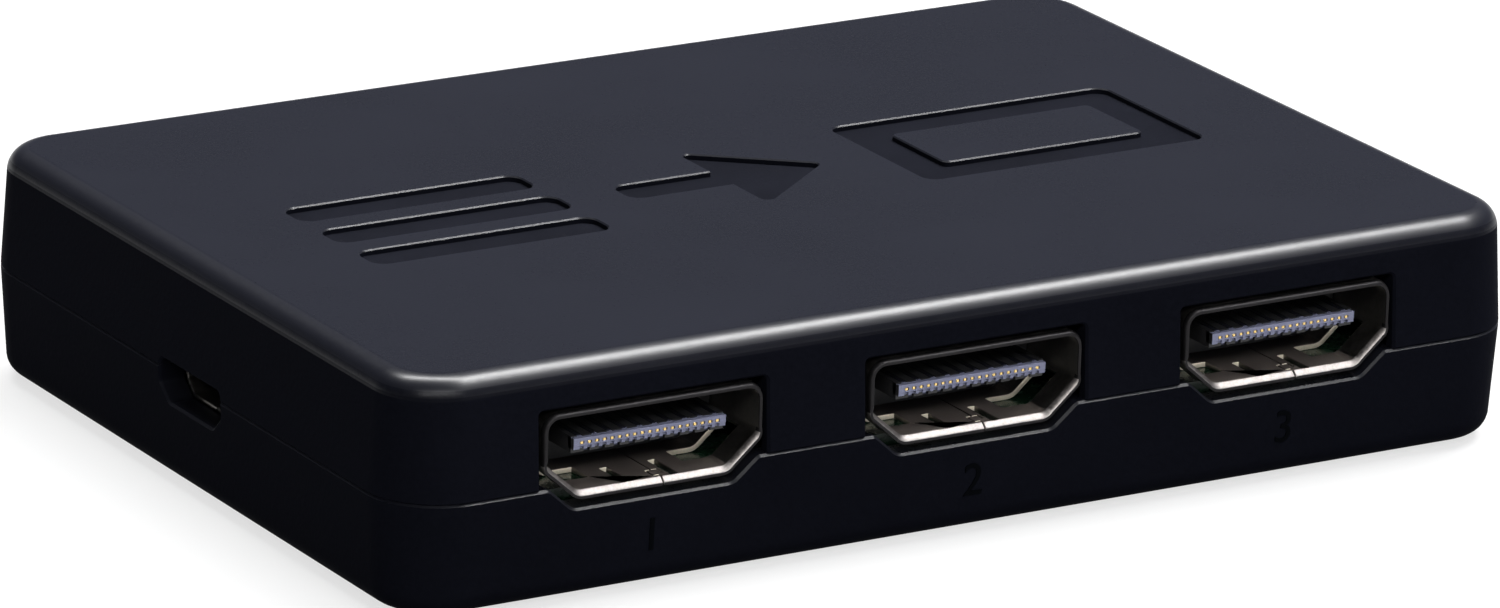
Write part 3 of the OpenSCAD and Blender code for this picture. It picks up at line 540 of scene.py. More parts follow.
def surfaced(key, name, base, dark, patch_mm, grain_mm, grain_depth_mm, roughness, edge=None, **inputs):
    """Adds a finish whose colour drifts in patches, with a fine grain that lifts and roughens it.

    dark is the share of the base colour in the dark patches, roughness its lowest and highest value,
    and edge the colour that rubbed edges show."""
    material = blank(name)
    tree = material.node_tree
    place = add_node(tree, "ShaderNodeTexCoord").outputs["Object"]
    patches = add_node(tree, "ShaderNodeTexNoise", {
        "Vector": place, "Scale": per_mm(patch_mm), "Detail": 4.0, "Roughness": 0.55}).outputs["Fac"]
    grain = add_node(tree, "ShaderNodeTexNoise", {
        "Vector": place, "Scale": per_mm(grain_mm), "Detail": 2.0, "Roughness": 0.5}).outputs["Fac"]
    mottle = add_node(tree, "ShaderNodeMath", {0: patches, 1: grain}, operation="ADD").outputs[0]
    share = add_node(tree, "ShaderNodeMapRange", {"Value": mottle, **MOTTLE}).outputs[0]
    shade = add_node(tree, "ShaderNodeMix", {
        0: share, 6: tuple(c * dark for c in base) + (1,), 7: tuple(base) + (1,)},
        data_type="RGBA").outputs[2]
    if edge:
        worn = add_node(tree, "ShaderNodeMapRange", {
            "Value": add_node(tree, "ShaderNodeNewGeometry").outputs["Pointiness"], **WORN}).outputs[0]
        shade = add_node(tree, "ShaderNodeMix", {
            0: worn, 6: shade, 7: tuple(edge) + (1,)}, data_type="RGBA").outputs[2]
    rough = add_node(tree, "ShaderNodeMapRange", {
        "Value": mottle, **MOTTLE, "To Min": roughness[0], "To Max": roughness[1]}).outputs[0]
    bump = add_node(tree, "ShaderNodeBump", {
        "Height": grain, "Strength": 1.0, "Distance": grain_depth_mm * MM}).outputs[0]
    shader = add_node(tree, "ShaderNodeBsdfPrincipled", {
        "Base Color": shade, "Roughness": rough, "Normal": bump,
        **{SHADER_INPUTS[part]: value for part, value in inputs.items()}}).outputs[0]
    add_node(tree, "ShaderNodeOutputMaterial", {"Surface": shader})
    FINISHES[key] = material


def make_finishes(finish):
    """Makes every finish on the box, under a short name for it."""
    black = finish.case
    abs_ior = 1.53
    # ABS moulded in a spark-eroded tool: satin, with a fine even grain. The grain is drawn about twice as
    # coarse as the tool's, or it wouldn't show.
    surfaced("case", "spark_eroded_black_abs", black, 0.75, 14, 0.22, 0.004, (0.27, 0.285),
             ior=abs_ior, level=0.228)
    # Down the rounded edges the tool's polish fades out in two steps, from satin to the matt of the walls.
    for key, level in (("fading", 0.1), ("faint", 0.03)):
        surfaced(key, key + "_black_abs", black, 0.75, 14, 0.22, 0.008, (0.3, 0.4), ior=abs_ior, level=level)
    # Edges are rubbed smooth by handling: the same satin without its grain, so that they draw a clean line.
    surfaced("rubbed", "rubbed_black_abs", black, 0.9, 14, 0.3, 0.0005, (0.32, 0.36),
             ior=abs_ior, level=0.228)
    # The sharp edges at the joint are trimmed by hand: smooth, with a little less sheen.
    surfaced("trimmed", "trimmed_black_abs", black, 0.9, 6, 0.3, 0.0005, (0.34, 0.4),
             ior=abs_ior, level=0.2)
    # The walls come from blasted steel: dead matt, so that they hardly mirror what stands round them.
    surfaced("wall", "blasted_black_abs", black, 0.75, 9, 0.3, 0.02, (0.5, 0.62),
             ior=abs_ior, level=0.002)
    # The sign's sunk floors are eroded more coarsely: duller and darker than the face round them.
    surfaced("sign", "coarse_eroded_black_abs", black, 0.6, 6, 0.2, 0.012, (0.5, 0.6),
             ior=abs_ior, level=0.02)
    # The numbers are left unblasted in the tool: denser and darker than the matt walls round them.
    surfaced("number", "unblasted_black_abs", finish.number, 0.9, 4, 0.1, 0.001, (0.3, 0.4),
             ior=abs_ior, level=0.004)
    # The button's ABS is moulded smoother: satin, paler where fingers rub its rim.
    surfaced("button", "moulded_button_abs", finish.button, 0.8, 5, 0.12, 0.004, (0.3, 0.4),
             linear("#3a3b40"), ior=abs_ior, level=0.3)
    # Cast rubber: dull and slightly dusty, with a soft open grain.
    surfaced("rubber", "cast_black_rubber", finish.rubber, 0.7, 3, 0.18, 0.02, (0.75, 0.9), ior=1.52)
    # Pressed steel under bright nickel: mirror-like but wavy from the press.
    surfaced("plating", "nickel_plated_steel", finish.plating, 0.72, 2.2, 0.25, 0.006, (0.3, 0.45),
             metallic=1.0)
    # Plugs scrape the floors dull: part of the light that falls on them is scattered.
    surfaced("scraped", "scraped_nickel", finish.scraped, 0.6, 0.8, 0.2, 0.006, (0.4, 0.6), metallic=0.6)
    # The flared rim is drawn over a die that scores it: the same nickel, broken into a soft band.
    surfaced("drawn", "drawn_nickel", finish.drawn, 0.6, 0.5, 0.15, 0.01, (0.42, 0.54), metallic=1.0)
    # The sheet's cut edges are bare: the shear leaves them dull and dark. The same dark finish is also
    # painted shade on the rim's front and on the rim above the upright sides.
    surfaced("sheared_and_shade_painted", "sheared_steel", finish.sheared_and_shade_painted, 0.7, 1.2, 0.12, 0.006, (0.45, 0.6), metallic=1.0)
    # Painted glint: the edges inside the shells that face back out of the mouth are painted bright and soft,
    # for the glints on them.
    surfaced("painted_glint", "burnished_steel", finish.painted_glint, 0.8, 1.2, 0.12, 0.004, (0.45, 0.6),
             metallic=0.5)
    # Zinc over steel: grey, with a matt crystalline bloom.
    surfaced("zinc", "zinc_plated_steel", finish.zinc, 0.65, 1.2, 0.1, 0.004, (0.3, 0.45), metallic=1.0)
    # Gold flash over nickel: warm and bright, thin enough to scatter some light.
    surfaced("gold", "gold_flashed_bronze", finish.gold, 0.8, 0.8, 0.08, 0.001, (0.18, 0.28),
             metallic=0.6)
    # The contacts where the gold flash ends, painted cool, dark and dull: painted shade, where the shell's
    # roof shades the tongue's top.
    surfaced("nickel", "nickel_underplate", finish.nickel, 0.75, 0.8, 0.08, 0.002, (0.4, 0.55),
             metallic=1.0)
    # Dipped tin: soft silver with a slightly lumpy skin.
    surfaced("tin", "dipped_tin", finish.tin, 0.75, 0.8, 0.2, 0.01, (0.25, 0.4), metallic=1.0)
    # Glass-filled nylon: cool grey, dry, with short fibres at the skin.
    surfaced("nylon", "glass_filled_nylon", finish.nylon, 0.7, 1.6, 0.07, 0.004, (0.42, 0.58), ior=1.53)
    # The same nylon painted near black behind the nose's front: painted shade, where the shell's roof shades
    # the tongue.
    surfaced("nylon_with_painted_shade", "black_filled_nylon", finish.nylon_with_painted_shade, 0.7, 1.6, 0.07, 0.004, (0.5, 0.65),
             ior=1.53)
    # Resist over copper and glass cloth: glossy green with a shallow weave under it.
    surfaced("mask", "solder_masked_laminate", finish.mask, 0.55, 1.4, 0.4, 0.006, (0.2, 0.32), ior=1.55)
    # Transfer-moulded epoxy: charcoal, matt, peppered by its filler.
    surfaced("epoxy", "moulded_chip_epoxy", finish.epoxy, 0.7, 1.5, 0.06, 0.006, (0.55, 0.7), ior=1.55)
    # Moulded resin with a pigment: amber, smooth and half matt.
    surfaced("tantalum", "moulded_capacitor_resin", finish.tantalum, 0.8, 1.2, 0.08, 0.004, (0.4, 0.55),
             ior=1.5)
    # Fired ceramic: tan, dense and faintly waxy.
    surfaced("ceramic", "fired_ceramic", finish.ceramic, 0.8, 0.9, 0.06, 0.003, (0.35, 0.5), ior=1.7)
    # Cast clear epoxy: milky near the die, glossy outside.
    surfaced("lens", "cast_clear_epoxy", finish.lens, 0.92, 1.5, 0.3, 0.001, (0.06, 0.12),
             ior=1.53, clear=0.75)
    # Smoked acrylic: near black in room light, deep red where light comes through.
    surfaced("window", "smoked_red_acrylic", finish.window, 0.8, 3, 0.4, 0.001, (0.06, 0.12),
             ior=1.49, clear=0.35)
    # Moulded acetal: plain red, smooth and slightly greasy.
    surfaced("plunger", "moulded_red_acetal", finish.plunger, 0.85, 1.2, 0.1, 0.003, (0.3, 0.42),
             ior=1.48)


CARRIED_OVER = {
    "circuit_board": "mask",
    "power_jack_insulator": "epoxy", "power_jack_contacts": "gold",
    "push_switch": "epoxy", "push_switch_terminals": "tin", "switch_plunger": "plunger",
    "eye_receiver": "epoxy", "eye_leads": "tin",
    "switching_chip": "epoxy", "switching_chip_leads": "tin",
    "control_chip": "epoxy", "control_chip_leads": "tin",
    "voltage_regulator": "epoxy", "regulator_leads": "tin",
    "bulk_capacitors": "tantalum", "ceramic_capacitors": "ceramic",
    "resistors": "epoxy", "surge_guards": "epoxy",
    "lamp_1_leads": "tin", "lamp_2_leads": "tin", "lamp_3_leads": "tin",
}


# Finishes of the case up to a rise of a face's normal; faces that rise further are satin
SHEENS = ((0.14, "wall"), (0.26, "faint"), (0.5, "fading"))


# Places that the frame gives


def middle(node):
    low, high = (Vector(corner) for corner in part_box(node))
    return (low + high) / 2


def socket_place(name, socket):
    """Matrix from a socket's own axes (across, inwards, up from the opening's floor) to the box."""
    low, high = (Vector(corner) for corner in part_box(name + "_shell"))
    floor = high.z - socket.sheet - socket.opening_height
    centre = (low.x + high.x) / 2
    if name == "output":
        return Matrix.Translation((centre, high.y, floor)) @ Matrix.Rotation(math.pi, 4, "Z")
    return Matrix.Translation((centre, low.y, floor))


def socket_corners(socket):
    """Corners of a socket's opening, anticlockwise from the floor's left end."""
    w = socket.opening_width / 2
    f = socket.floor_width / 2
    h = socket.opening_height
    s = h - socket.side_height
    return [(-f, 0), (f, 0), (w, s), (w, h), (-w, h), (-w, s)]


def socket_bends(socket):
    """Inside radii of the bends at a socket's corners, in their order."""
    floor, side, top = socket.floor_bend, socket.side_bend, socket.top_bend
    return [floor, floor, side, top, top, side]


# Outline axes (across, up) to the box's axes, with the drawing direction inwards along +Y
UPRIGHT = Matrix(((1, 0, 0, 0), (0, 0, 1, 0), (0, 1, 0, 0), (0, 0, 0, 1)))


# Case

# Lowest and highest corner of both halves together
CAD_CASE = (
    Vector(map(min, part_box("top_case")[0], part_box("bottom_case")[0])),
    Vector(map(max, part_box("top_case")[1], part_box("bottom_case")[1])))
# How far a cutter stands out of the face that it opens
OVER = 0.1 * MM
# How far the cutters reach in: of the notches, of the power jack's hole and of the holes in the back
NOTCH_DEEP = 3 * MM
JACK_DEEP = 1.2 * MM
BACK_DEEP = 6 * MM
# How far the upper notches' cutters reach below the joint, and the lower ones' above it
BELOW_JOINT = 0.4 * MM
ABOVE_JOINT = 4 * MM
# How far a screw's well reaches past the floor's inner face
SCREW_WELL = 1 * MM
# Rounding of the corners of notches and square holes, and of the power jack's hole
HOLE_ROUND = 0.3 * MM
JACK_ROUND = 0.5 * MM
# Least rounding of the case's upright corners, inside
LEAST_ROUND = 0.2 * MM
# Rise of a normal from which a face counts as level, and up to which an edge is rubbed
LEVEL_RISE = 0.99
RUBBED_RISE = 0.985


def wall_profile(case, end, part, roof):
    """Insets and heights down a half's section, from its outer face to its inner one.

    end is the outer face's height, part the parting line's and roof the inner face's."""
    up = 1 if end > part else -1
    radius = case.top_edge if up > 0 else case.bottom_edge
    steps = 12
    profile = []
    for k in range(steps + 1):
        t = math.pi / 2 * (1 - k / steps)
        profile.append((case.draft + radius * (1 - math.cos(t)), end - up * radius * (1 - math.sin(t))))
    edge = case.upper_edge if up > 0 else case.lower_edge
    profile += [(0, part + up * edge), (edge, part)]
    lip_face = case.wall - case.lip
    if up > 0:
        step = lip_face - case.lip_gap
        profile += [(step, part), (step, part + case.lip + case.lip_gap),
                    (case.wall, part + case.lip + case.lip_gap)]
    else:
        profile += [(lip_face, part), (lip_face, part + case.lip), (case.wall, part + case.lip)]
    inner = case.inner_edge
    for k in range(5):
        t = math.pi / 8 * k
        profile.append((case.wall + case.draft + inner * (1 - math.cos(t)),
                        roof - up * inner * (1 - math.sin(t))))
    return profile


def case_ring(case, inset, height, steps=14):
    low, high = CAD_CASE
    r = max(case.corner - inset, LEAST_ROUND)
    return [Vector((p.x, p.y, height)) for p in
            rounded_box(low.x + inset, low.y + inset, high.x - inset, high.y - inset, r, steps)]


def case_half(name, case, end, part, roof):
    rings = [case_ring(case, inset, height) for inset, height in wall_profile(case, end, part, roof)]
    return new_object(name, *lofted(rings))


def dress_case(piece):
    """Gives the upright faces of a case half their matt, with steps of sheen between it and the satin."""
    low = -2
    for high, finish in SHEENS:
        dress_faces(piece, FINISHES[finish], lambda face: low <= face.normal.z < high)
        low = high


def wall_inset(case, height):
    """How far a wall's leaning outer face lies inside the parting line's outline at a height."""
    low, high = CAD_CASE
    if height > case.parting:
        run = high.z - case.top_edge - case.parting
    else:
        run = case.parting - low.z - case.bottom_edge
    return case.draft * min(abs(height - case.parting) / run, 1)


def wall_hole(case, outline, place, deep):
    """Cutter of a hole through a wall, with a chamfer round its outer edge.

    outline holds points and their outward directions in the place's own axes: across, inwards, up."""
    low, high = CAD_CASE
    inwards = place.to_3x3() @ Vector((0, 1, 0))
    side = Vector([a if i > 0 else b for a, b, i in zip(low, high, inwards)])
    rim = (place.translation - side).dot(inwards)
    rings = ([], [], [])
    for p, n in outline:
        face = wall_inset(case, place.translation.z + p.y) - rim
        sections = ((deep, 0), (face + case.arris, 0), (face - OVER, case.arris + OVER))
        for ring, (depth, out) in zip(rings, sections):
            ring.append(place @ Vector((p.x + n.x * out, depth, p.y + n.y * out)))
    return lofted(rings)


def sunk_rings(outline, sign, top, outwards=1):
    """Rings of a sunk shape's edge, from its floor to above the top, chamfered at the top."""
    over = 0.3 * MM
    steps = ((0, top - sign.depth), (0, top - sign.chamfer), (sign.chamfer + over, top + over))
    return [[Vector((p.x + n.x * out * outwards, p.y + n.y * out * outwards, z)) for p, n in outline]
            for out, z in steps]


def sign_solids(sign, top):
    """Cutters of the sunk sign, centred on the top."""
    half = sign.stroke / 2
    total = sign.bar + sign.gap + sign.shaft + sign.head + sign.gap + sign.screen_width
    round_ends = [sign.rounding] * 4
    x = -total / 2
    solids = []
    for row in (-1, 0, 1):
        y = row * sign.bar_pitch
        bar = rounded(box_corners(x, y - half, x + sign.bar, y + half), round_ends)
        solids.append(lofted(sunk_rings(bar, sign, top)))
    x += sign.bar + sign.gap
    neck = x + sign.shaft
    tip = neck + sign.head
    wing = sign.head_width / 2
    small = sign.rounding / 2
    corners = [(x, -half), (neck, -half), (neck, -wing), (tip, 0), (neck, wing), (neck, half), (x, half)]
    arrow = rounded(corners, [sign.rounding, 0, small, small, small, 0, sign.rounding], 6)
    solids.append(lofted(sunk_rings(arrow, sign, top)))
    x = tip + sign.gap
    deep = sign.screen_depth / 2
    stroke = sign.stroke
    outer = rounded(box_corners(x, -deep, x + sign.screen_width, deep), round_ends)
    inside = box_corners(x + stroke, stroke - deep, x + sign.screen_width - stroke, deep - stroke)
    inner = rounded(inside, [small] * 4)
    solids.append(looped(sunk_rings(outer, sign, top) + sunk_rings(inner, sign, top, -1)[::-1]))
    return solids


def upper_notches(case, socket):
    """Cutters of the upper half's notches for the sockets."""
    half = socket.opening_width / 2 + socket.sheet + case.upper_gap
    roof = socket.opening_height + socket.sheet + case.upper_gap
    solids = []
    for name in SOCKETS:
        place = socket_place(name, socket)
        below = case.parting - place.translation.z - BELOW_JOINT
        outline = rounded(box_corners(-half, below, half, roof), [HOLE_ROUND] * 4, 4)
        solids.append(wall_hole(case, outline, place, NOTCH_DEEP))
    return solids


def lower_notches(case, socket):
    """Cutters of the lower half's notches, which follow the sockets' underside."""
    solids = []
    for name in SOCKETS:
        place = socket_place(name, socket)
        part = case.parting - place.translation.z
        corners = grown(socket_corners(socket), socket.sheet + case.lower_gap)
        floor_left, floor_right, side_right = corners[0], corners[1], corners[2]
        slope = (side_right.x - floor_right.x) / (side_right.y - floor_right.y)
        reach = floor_right.x + slope * (part - floor_right.y)
        wide = reach + 3 * case.notch_round
        above = part + ABOVE_JOINT
        outline = [floor_left, floor_right, (reach, part), (wide, part), (wide, above),
                   (-wide, above), (-wide, part), (-reach, part)]
        bend = socket.floor_bend
        radii = [bend, bend, case.notch_round, 0, 0, 0, 0, case.notch_round]
        solids.append(wall_hole(case, rounded(outline, radii, 6), place, NOTCH_DEEP))
    return solids


def jack_place(jack):
    """Matrix from the jack's own axes (across, inwards, up from the opening's floor) to the box."""
    low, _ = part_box("power_jack_shell")
    centre = middle("power_jack_shell")
    return Matrix.Translation((low[0], centre.y, low[2] + jack.sheet)) @ Matrix.Rotation(-math.pi / 2, 4, "Z")


def jack_cut(case, jack):
    outline = rounded(grown(socket_corners(jack), case.jack_gap), [JACK_ROUND] * 6, 5)
    return wall_hole(case, outline, jack_place(jack), JACK_DEEP)


def facing_back(x, y, z):
    """Matrix that turns Z towards the back at a place."""
    return Matrix.Translation((x, y, z)) @ Matrix.Rotation(-math.pi / 2, 4, "X")


def back_hole(case, node, outline):
    """Cutter of a hole through the back wall, about a node's middle."""
    centre = middle(node)
    place = Matrix.Translation((centre.x, CAD_CASE[1].y, centre.z)) @ Matrix.Rotation(math.pi, 4, "Z")
    return wall_hole(case, outline, place, BACK_DEEP)


def circle(radius, steps=48):
    """Points of a circle and their outward directions."""
    outward = [Vector((math.cos(t), math.sin(t))) for t in (2 * math.pi * k / steps for k in range(steps))]
    return [(n * radius, n) for n in outward]


def well(case, x, y, radius, top):
    """Cutter of a round well in the underside, chamfered at its mouth."""
    mouth = CAD_CASE[0].z
    profile = [(radius + case.arris + OVER, mouth - OVER), (radius, mouth + case.arris), (radius, top)]
    return turned(profile, Matrix.Translation((x, y, 0)), 40)


def screw_places(controls):
    """Places of the four screws, from the box that holds them all."""
    low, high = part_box("case_screws")
    inset = controls.screw_head / 2
    return [(x, y) for x in (low[0] + inset, high[0] - inset) for y in (low[1] + inset, high[1] - inset)]


class SWITCHBOX_OT_case_halves(bpy.types.Operator):
    """Moulds the two case halves with their notches, holes and sunk sign"""
    bl_idname = "switchbox.case_halves"
    bl_label = "Case halves"

    def execute(self, context):
        box = context.scene.switch_box
        case, socket, sign = box.case, box.socket, box.sign
        low, high = CAD_CASE
        roof = high.z - case.wall
        floor = low.z + case.wall

        button_hole = back_hole(case, "select_button", circle(box.controls.button / 2 + case.hole_gap))
        lens = box.controls.lamp / 2 + case.lens_gap
        lamp_holes = [back_hole(case, name, circle(lens, 32)) for name in LAMPS]
        eye_low, eye_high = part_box("eye_window")
        inset = box.controls.lens_rim - case.lens_gap
        eye_w = (eye_high[0] - eye_low[0]) / 2 - inset
        eye_h = (eye_high[2] - eye_low[2]) / 2 - inset
        eye_hole = back_hole(
            case, "eye_window", rounded(box_corners(-eye_w, -eye_h, eye_w, eye_h), [HOLE_ROUND] * 4, 4))
        jack_hole = jack_cut(case, box.jack)

        top = case_half("upper_case", case, high.z, case.parting, roof)
        cut(top, upper_notches(case, socket) + [jack_hole, button_hole, eye_hole] + lamp_holes
            + sign_solids(sign, high.z))
        shaded(top)
        finished(top, FINISHES["case"], "case", "case_plastic", "top_case")
        sunk = high.z - 0.9 * sign.depth
        dress_faces(top, FINISHES["sign"],
                    lambda face: face.normal.z > LEVEL_RISE and roof < face.center.z < sunk)
        dress_case(top)
        dress_faces(top, FINISHES["rubbed"], lambda face: SHEENS[-1][0] <= face.normal.z < RUBBED_RISE)

        bottom = case_half("lower_case", case, low.z, case.parting, floor)
        wells = []
        for name in FEET:
            foot_low, foot_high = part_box(name)
            radius = (foot_high[0] - foot_low[0]) / 2 + case.foot_gap
            foot = middle(name)
            wells.append(well(case, foot.x, foot.y, radius, foot_high[2]))
        for x, y in screw_places(box.controls):
            radius = box.controls.screw_head / 2 + box.controls.screw_gap
            wells.append(well(case, x, y, radius, floor + SCREW_WELL))
        cut(bottom, lower_notches(case, socket) + [jack_hole, button_hole] + wells)
        shaded(bottom)
        finished(bottom, FINISHES["case"], "case", "case_plastic", "bottom_case")
        dress_case(bottom)
        dress_faces(bottom, FINISHES["trimmed"], lambda face: SHEENS[-1][0] <= face.normal.z < LEVEL_RISE)
        return {"FINISHED"}


# Sockets


def thick_sheet(outline, sheet, depths, is_cut, flare=0.0, flare_depth=0.0, taper=0.0):
    """A bent sheet drawn out along the depths, with the cells that is_cut names left out.

    outline holds points of the inner face and their outward directions. is_cut takes the middle of a
    cell: across, depth, up. The floor and the slopes beside it open outwards at the mouth by the flare, and
    the sheet is thinner at the mouth by the taper."""
    across = len(outline)
    rows = len(depths)
    points = []
    for side in (0, 1):
        for depth in depths:
            opened = flare * (1 - depth / flare_depth) if depth < flare_depth else 0
            thickness = sheet - taper if depth == depths[0] else sheet
            for p, n in outline:
                out = thickness * side + opened * max(0, -n.y)
                points.append(Vector((p.x + n.x * out, depth, p.y + n.y * out)))

    def at(side, row, i):
        return side * rows * across + row * across + i % across

    def kept(row, i):
        if row < 0 or row >= rows - 1:
            return False
        a = outline[i % across][0]
        b = outline[(i + 1) % across][0]
        centre = (a + b) / 2
        return not is_cut(centre.x, (depths[row] + depths[row + 1]) / 2, centre.y)

    faces = []
    for row in range(rows - 1):
        for i in range(across):
            if not kept(row, i):
                continue
            faces.append((at(0, row, i), at(0, row, i + 1), at(0, row + 1, i + 1), at(0, row + 1, i)))
            faces.append((at(1, row, i), at(1, row + 1, i), at(1, row + 1, i + 1), at(1, row, i + 1)))
            for other, a, b in (((row - 1, i), (row, i), (row, i + 1)),
                                ((row + 1, i), (row + 1, i + 1), (row + 1, i)),
                                ((row, i - 1), (row + 1, i), (row, i)),
                                ((row, i + 1), (row, i + 1), (row + 1, i + 1))):
                if not kept(*other):
                    faces.append((at(0, *a), at(1, *a), at(1, *b), at(0, *b)))
    return points, faces


# Length that counts as nothing, and the height from which a level stretch of an outline is a roof
NEARLY = 1e-7
ROOF_FROM = 2 * MM


def split_outline(outline, places):
    """Adds points to an outline's level stretches where they cross the given places."""
    result = []
    total = len(outline)
    for i in range(total):
        point, out = outline[i]
        after, _ = outline[(i + 1) % total]
        result.append((point, out))
        if abs(after.y - point.y) > NEARLY:
            continue
        start, end = min(point.x, after.x) + NEARLY, max(point.x, after.x) - NEARLY
        inside = [x for x in places if start < x < end]
        level = Vector((0, 1 if point.y > ROOF_FROM else -1))
        for x in sorted(inside, reverse=after.x < point.x):
            result.append((Vector((x, point.y)), level))
    return result


def in_boxes(x, depth, boxes):
    return any(x0 < x < x1 and d0 < depth < d1 for x0, x1, d0, d1 in boxes)


def socket_sheet(socket):
    """Points and faces of a socket's pressed shell in its own axes."""
    tenth = 0.1 * MM
    seam, gap, step = 7 * tenth, 0.6 * tenth, 3 * tenth
    # Cut-outs: across from and to, then deep from and to
    lock = (3 * tenth, 11 * tenth, 6 * tenth, 16 * tenth)
    slot = (13.5 * tenth, 18.5 * tenth, 4 * tenth, 31 * tenth)
    finger = (23 * tenth, 45 * tenth, 15 * tenth, 44 * tenth)
    slit = 2.5 * tenth
    # Windows beside the floor: across from, deep from and to, and their top
    window = (31.5 * tenth, 21 * tenth, 40 * tenth)
    window_top = 14.5 * tenth
    shell_length = 11 * MM
    # The folded seam runs in from the rim and round a dovetail that locks it
    floor_boxes = [
        (seam - gap / 2, seam + gap / 2, 0, lock[2] + gap),
        (lock[0], seam, lock[2], lock[2] + gap),
        (lock[0], lock[0] + gap, lock[2], lock[3]),
        (lock[0], lock[1], lock[3] - gap, lock[3]),
        (lock[1] - gap, lock[1], lock[2] + step, lock[3]),
        (seam - gap / 2, seam + gap / 2, lock[3], shell_length),
        slot,
        (-slot[1], -slot[0], slot[2], slot[3])]
    finger_boxes = []
    for x0, x1 in ((finger[0], finger[1]), (-finger[1], -finger[0])):
        finger_boxes += [(x0 - slit, x0, finger[2], finger[3]), (x1, x1 + slit, finger[2], finger[3]),
                         (x0 - slit, x1 + slit, finger[2], finger[2] + slit)]

    def is_cut(x, depth, up):
        if up > socket.opening_height - tenth:
            return in_boxes(x, depth, finger_boxes)
        if abs(x) > window[0] and up < window_top:
            return window[1] < depth < window[2]
        return up < tenth and in_boxes(x, depth, floor_boxes)

    places = {p for box in floor_boxes + finger_boxes for p in box[:2]} | {window[0], -window[0]}
    depths = {p for box in floor_boxes + finger_boxes for p in box[2:]} | {window[1], window[2]}
    depths.add(socket.flare_depth)
    outline = split_outline(rounded(socket_corners(socket), socket_bends(socket), 6), places)
    return thick_sheet(
        outline, socket.sheet, sorted(depths), is_cut, socket.flare, socket.flare_depth, socket.taper)


# Depth within which a face is on a shell's mouth, and how far normals lean that face outwards and upwards
MOUTH = 0.02 * MM
FACES_OUT = -0.4
FACES_UP = 0.9


def shell_finish(socket, face, inwards):
    """Name of the finish that a face of a shell has in place of its bright plating, if any."""
    centre = inwards @ face.center
    normal = inwards.to_3x3() @ face.normal
    # The rim's front and the rim above the upright sides take the dark finish: partly bare cut edges, partly
    # painted shade
    if centre.y < MOUTH:
        return "sheared_and_shade_painted"
    if centre.y < socket.flare_depth:
        return "sheared_and_shade_painted" if centre.z > socket.opening_height - socket.side_height else "drawn"
    # Faces that look back out of the mouth take the painted glint
    if normal.y < FACES_OUT:
        return "painted_glint"
    return "scraped" if normal.z > FACES_UP and centre.z < socket.sheet else None


class SWITCHBOX_OT_socket_shells(bpy.types.Operator):
    """Folds the plated shells of the inputs and the output"""
    bl_idname = "switchbox.socket_shells"
    bl_label = "Socket shells"

    def execute(self, context):
        socket = context.scene.switch_box.socket
        shell = new_object("socket_shell", *socket_sheet(socket))
        soften(shell, socket.rim_round)
        for name in SOCKETS:
            place = socket_place(name, socket)
            copy = placed_copy(shell, name + "_plated_shell", place, FINISHES["plating"], "plated_shell",
                               name + "_shell")
            inwards = place.inverted()
            for finish in ("sheared_and_shade_painted", "drawn", "scraped", "painted_glint"):
                dress_faces(
                    copy, FINISHES[finish], lambda face: shell_finish(socket, face, inwards) == finish)
        bpy.data.objects.remove(shell)
        return {"FINISHED"}


def placed_copy(piece, name, place, material, slot, *nodes):
    """A copy of a piece with its place in its mesh, dressed and fixed to the case."""
    mesh = piece.data.copy()
    mesh.transform(place)
    copy = linked(name, mesh)
    finished(copy, material, "case", slot, *nodes)
    return copy


def dress_behind(piece, finish, place, depth):
    """Gives the faces that lie deeper in a socket than a depth a finish of their own."""
    inwards = place.inverted()
    dress_faces(piece, FINISHES[finish], lambda face: (inwards @ face.center).y > depth)


# Rows of copies, made by Geometry Nodes


def copies_tree():
    """Tree that sets copies of a piece out on a grid: returns it with its inputs' identifiers by name."""
    tree = bpy.data.node_groups.new("rows_of_copies", "GeometryNodeTree")
    ids = {}
    for name, kind in (("Piece", "NodeSocketObject"), ("Columns", "NodeSocketInt"), ("Rows", "NodeSocketInt"),
                       ("Width", "NodeSocketFloat"), ("Depth", "NodeSocketFloat"),
                       ("Centre", "NodeSocketVector"), ("Finish", "NodeSocketMaterial")):
        ids[name] = tree.interface.new_socket(name, in_out="INPUT", socket_type=kind).identifier
    tree.interface.new_socket("Copies", in_out="OUTPUT", socket_type="NodeSocketGeometry")
    given = add_node(tree, "NodeGroupInput").outputs
    grid = add_node(tree, "GeometryNodeMeshGrid", {
        "Size X": given["Width"], "Size Y": given["Depth"],
        "Vertices X": given["Columns"], "Vertices Y": given["Rows"]}).outputs["Mesh"]
    places = add_node(tree, "GeometryNodeSetPosition", {
        "Geometry": grid, "Offset": given["Centre"]}).outputs[0]
    piece = add_node(tree, "GeometryNodeObjectInfo", {"Object": given["Piece"], "As Instance": True})
    copies = add_node(tree, "GeometryNodeInstanceOnPoints", {
        "Points": places, "Instance": piece.outputs["Geometry"]}).outputs[0]
    real = add_node(tree, "GeometryNodeRealizeInstances", {"Geometry": copies}).outputs[0]
    dressed = add_node(tree, "GeometryNodeSetMaterial", {
        "Geometry": real, "Material": given["Finish"]}).outputs[0]
    add_node(tree, "NodeGroupOutput", {"Copies": dressed})
    return tree, ids


def rows(name, piece, columns, lines, width, depth, centre, finish):
    """A mesh object of copies of a piece on a grid; the piece itself is used up."""
    tree, ids = copies_tree()
    holder = linked(name, bpy.data.meshes.new(name))
    modifier = holder.modifiers.new("Rows", "NODES")
    modifier.node_group = tree
    for key, value in (("Piece", piece), ("Columns", columns), ("Rows", lines), ("Width", width),
                       ("Depth", depth), ("Centre", centre), ("Finish", finish)):
        modifier[ids[key]] = value
    settle(holder)
    bpy.data.node_groups.remove(tree)
    bpy.data.objects.remove(piece)
    return holder


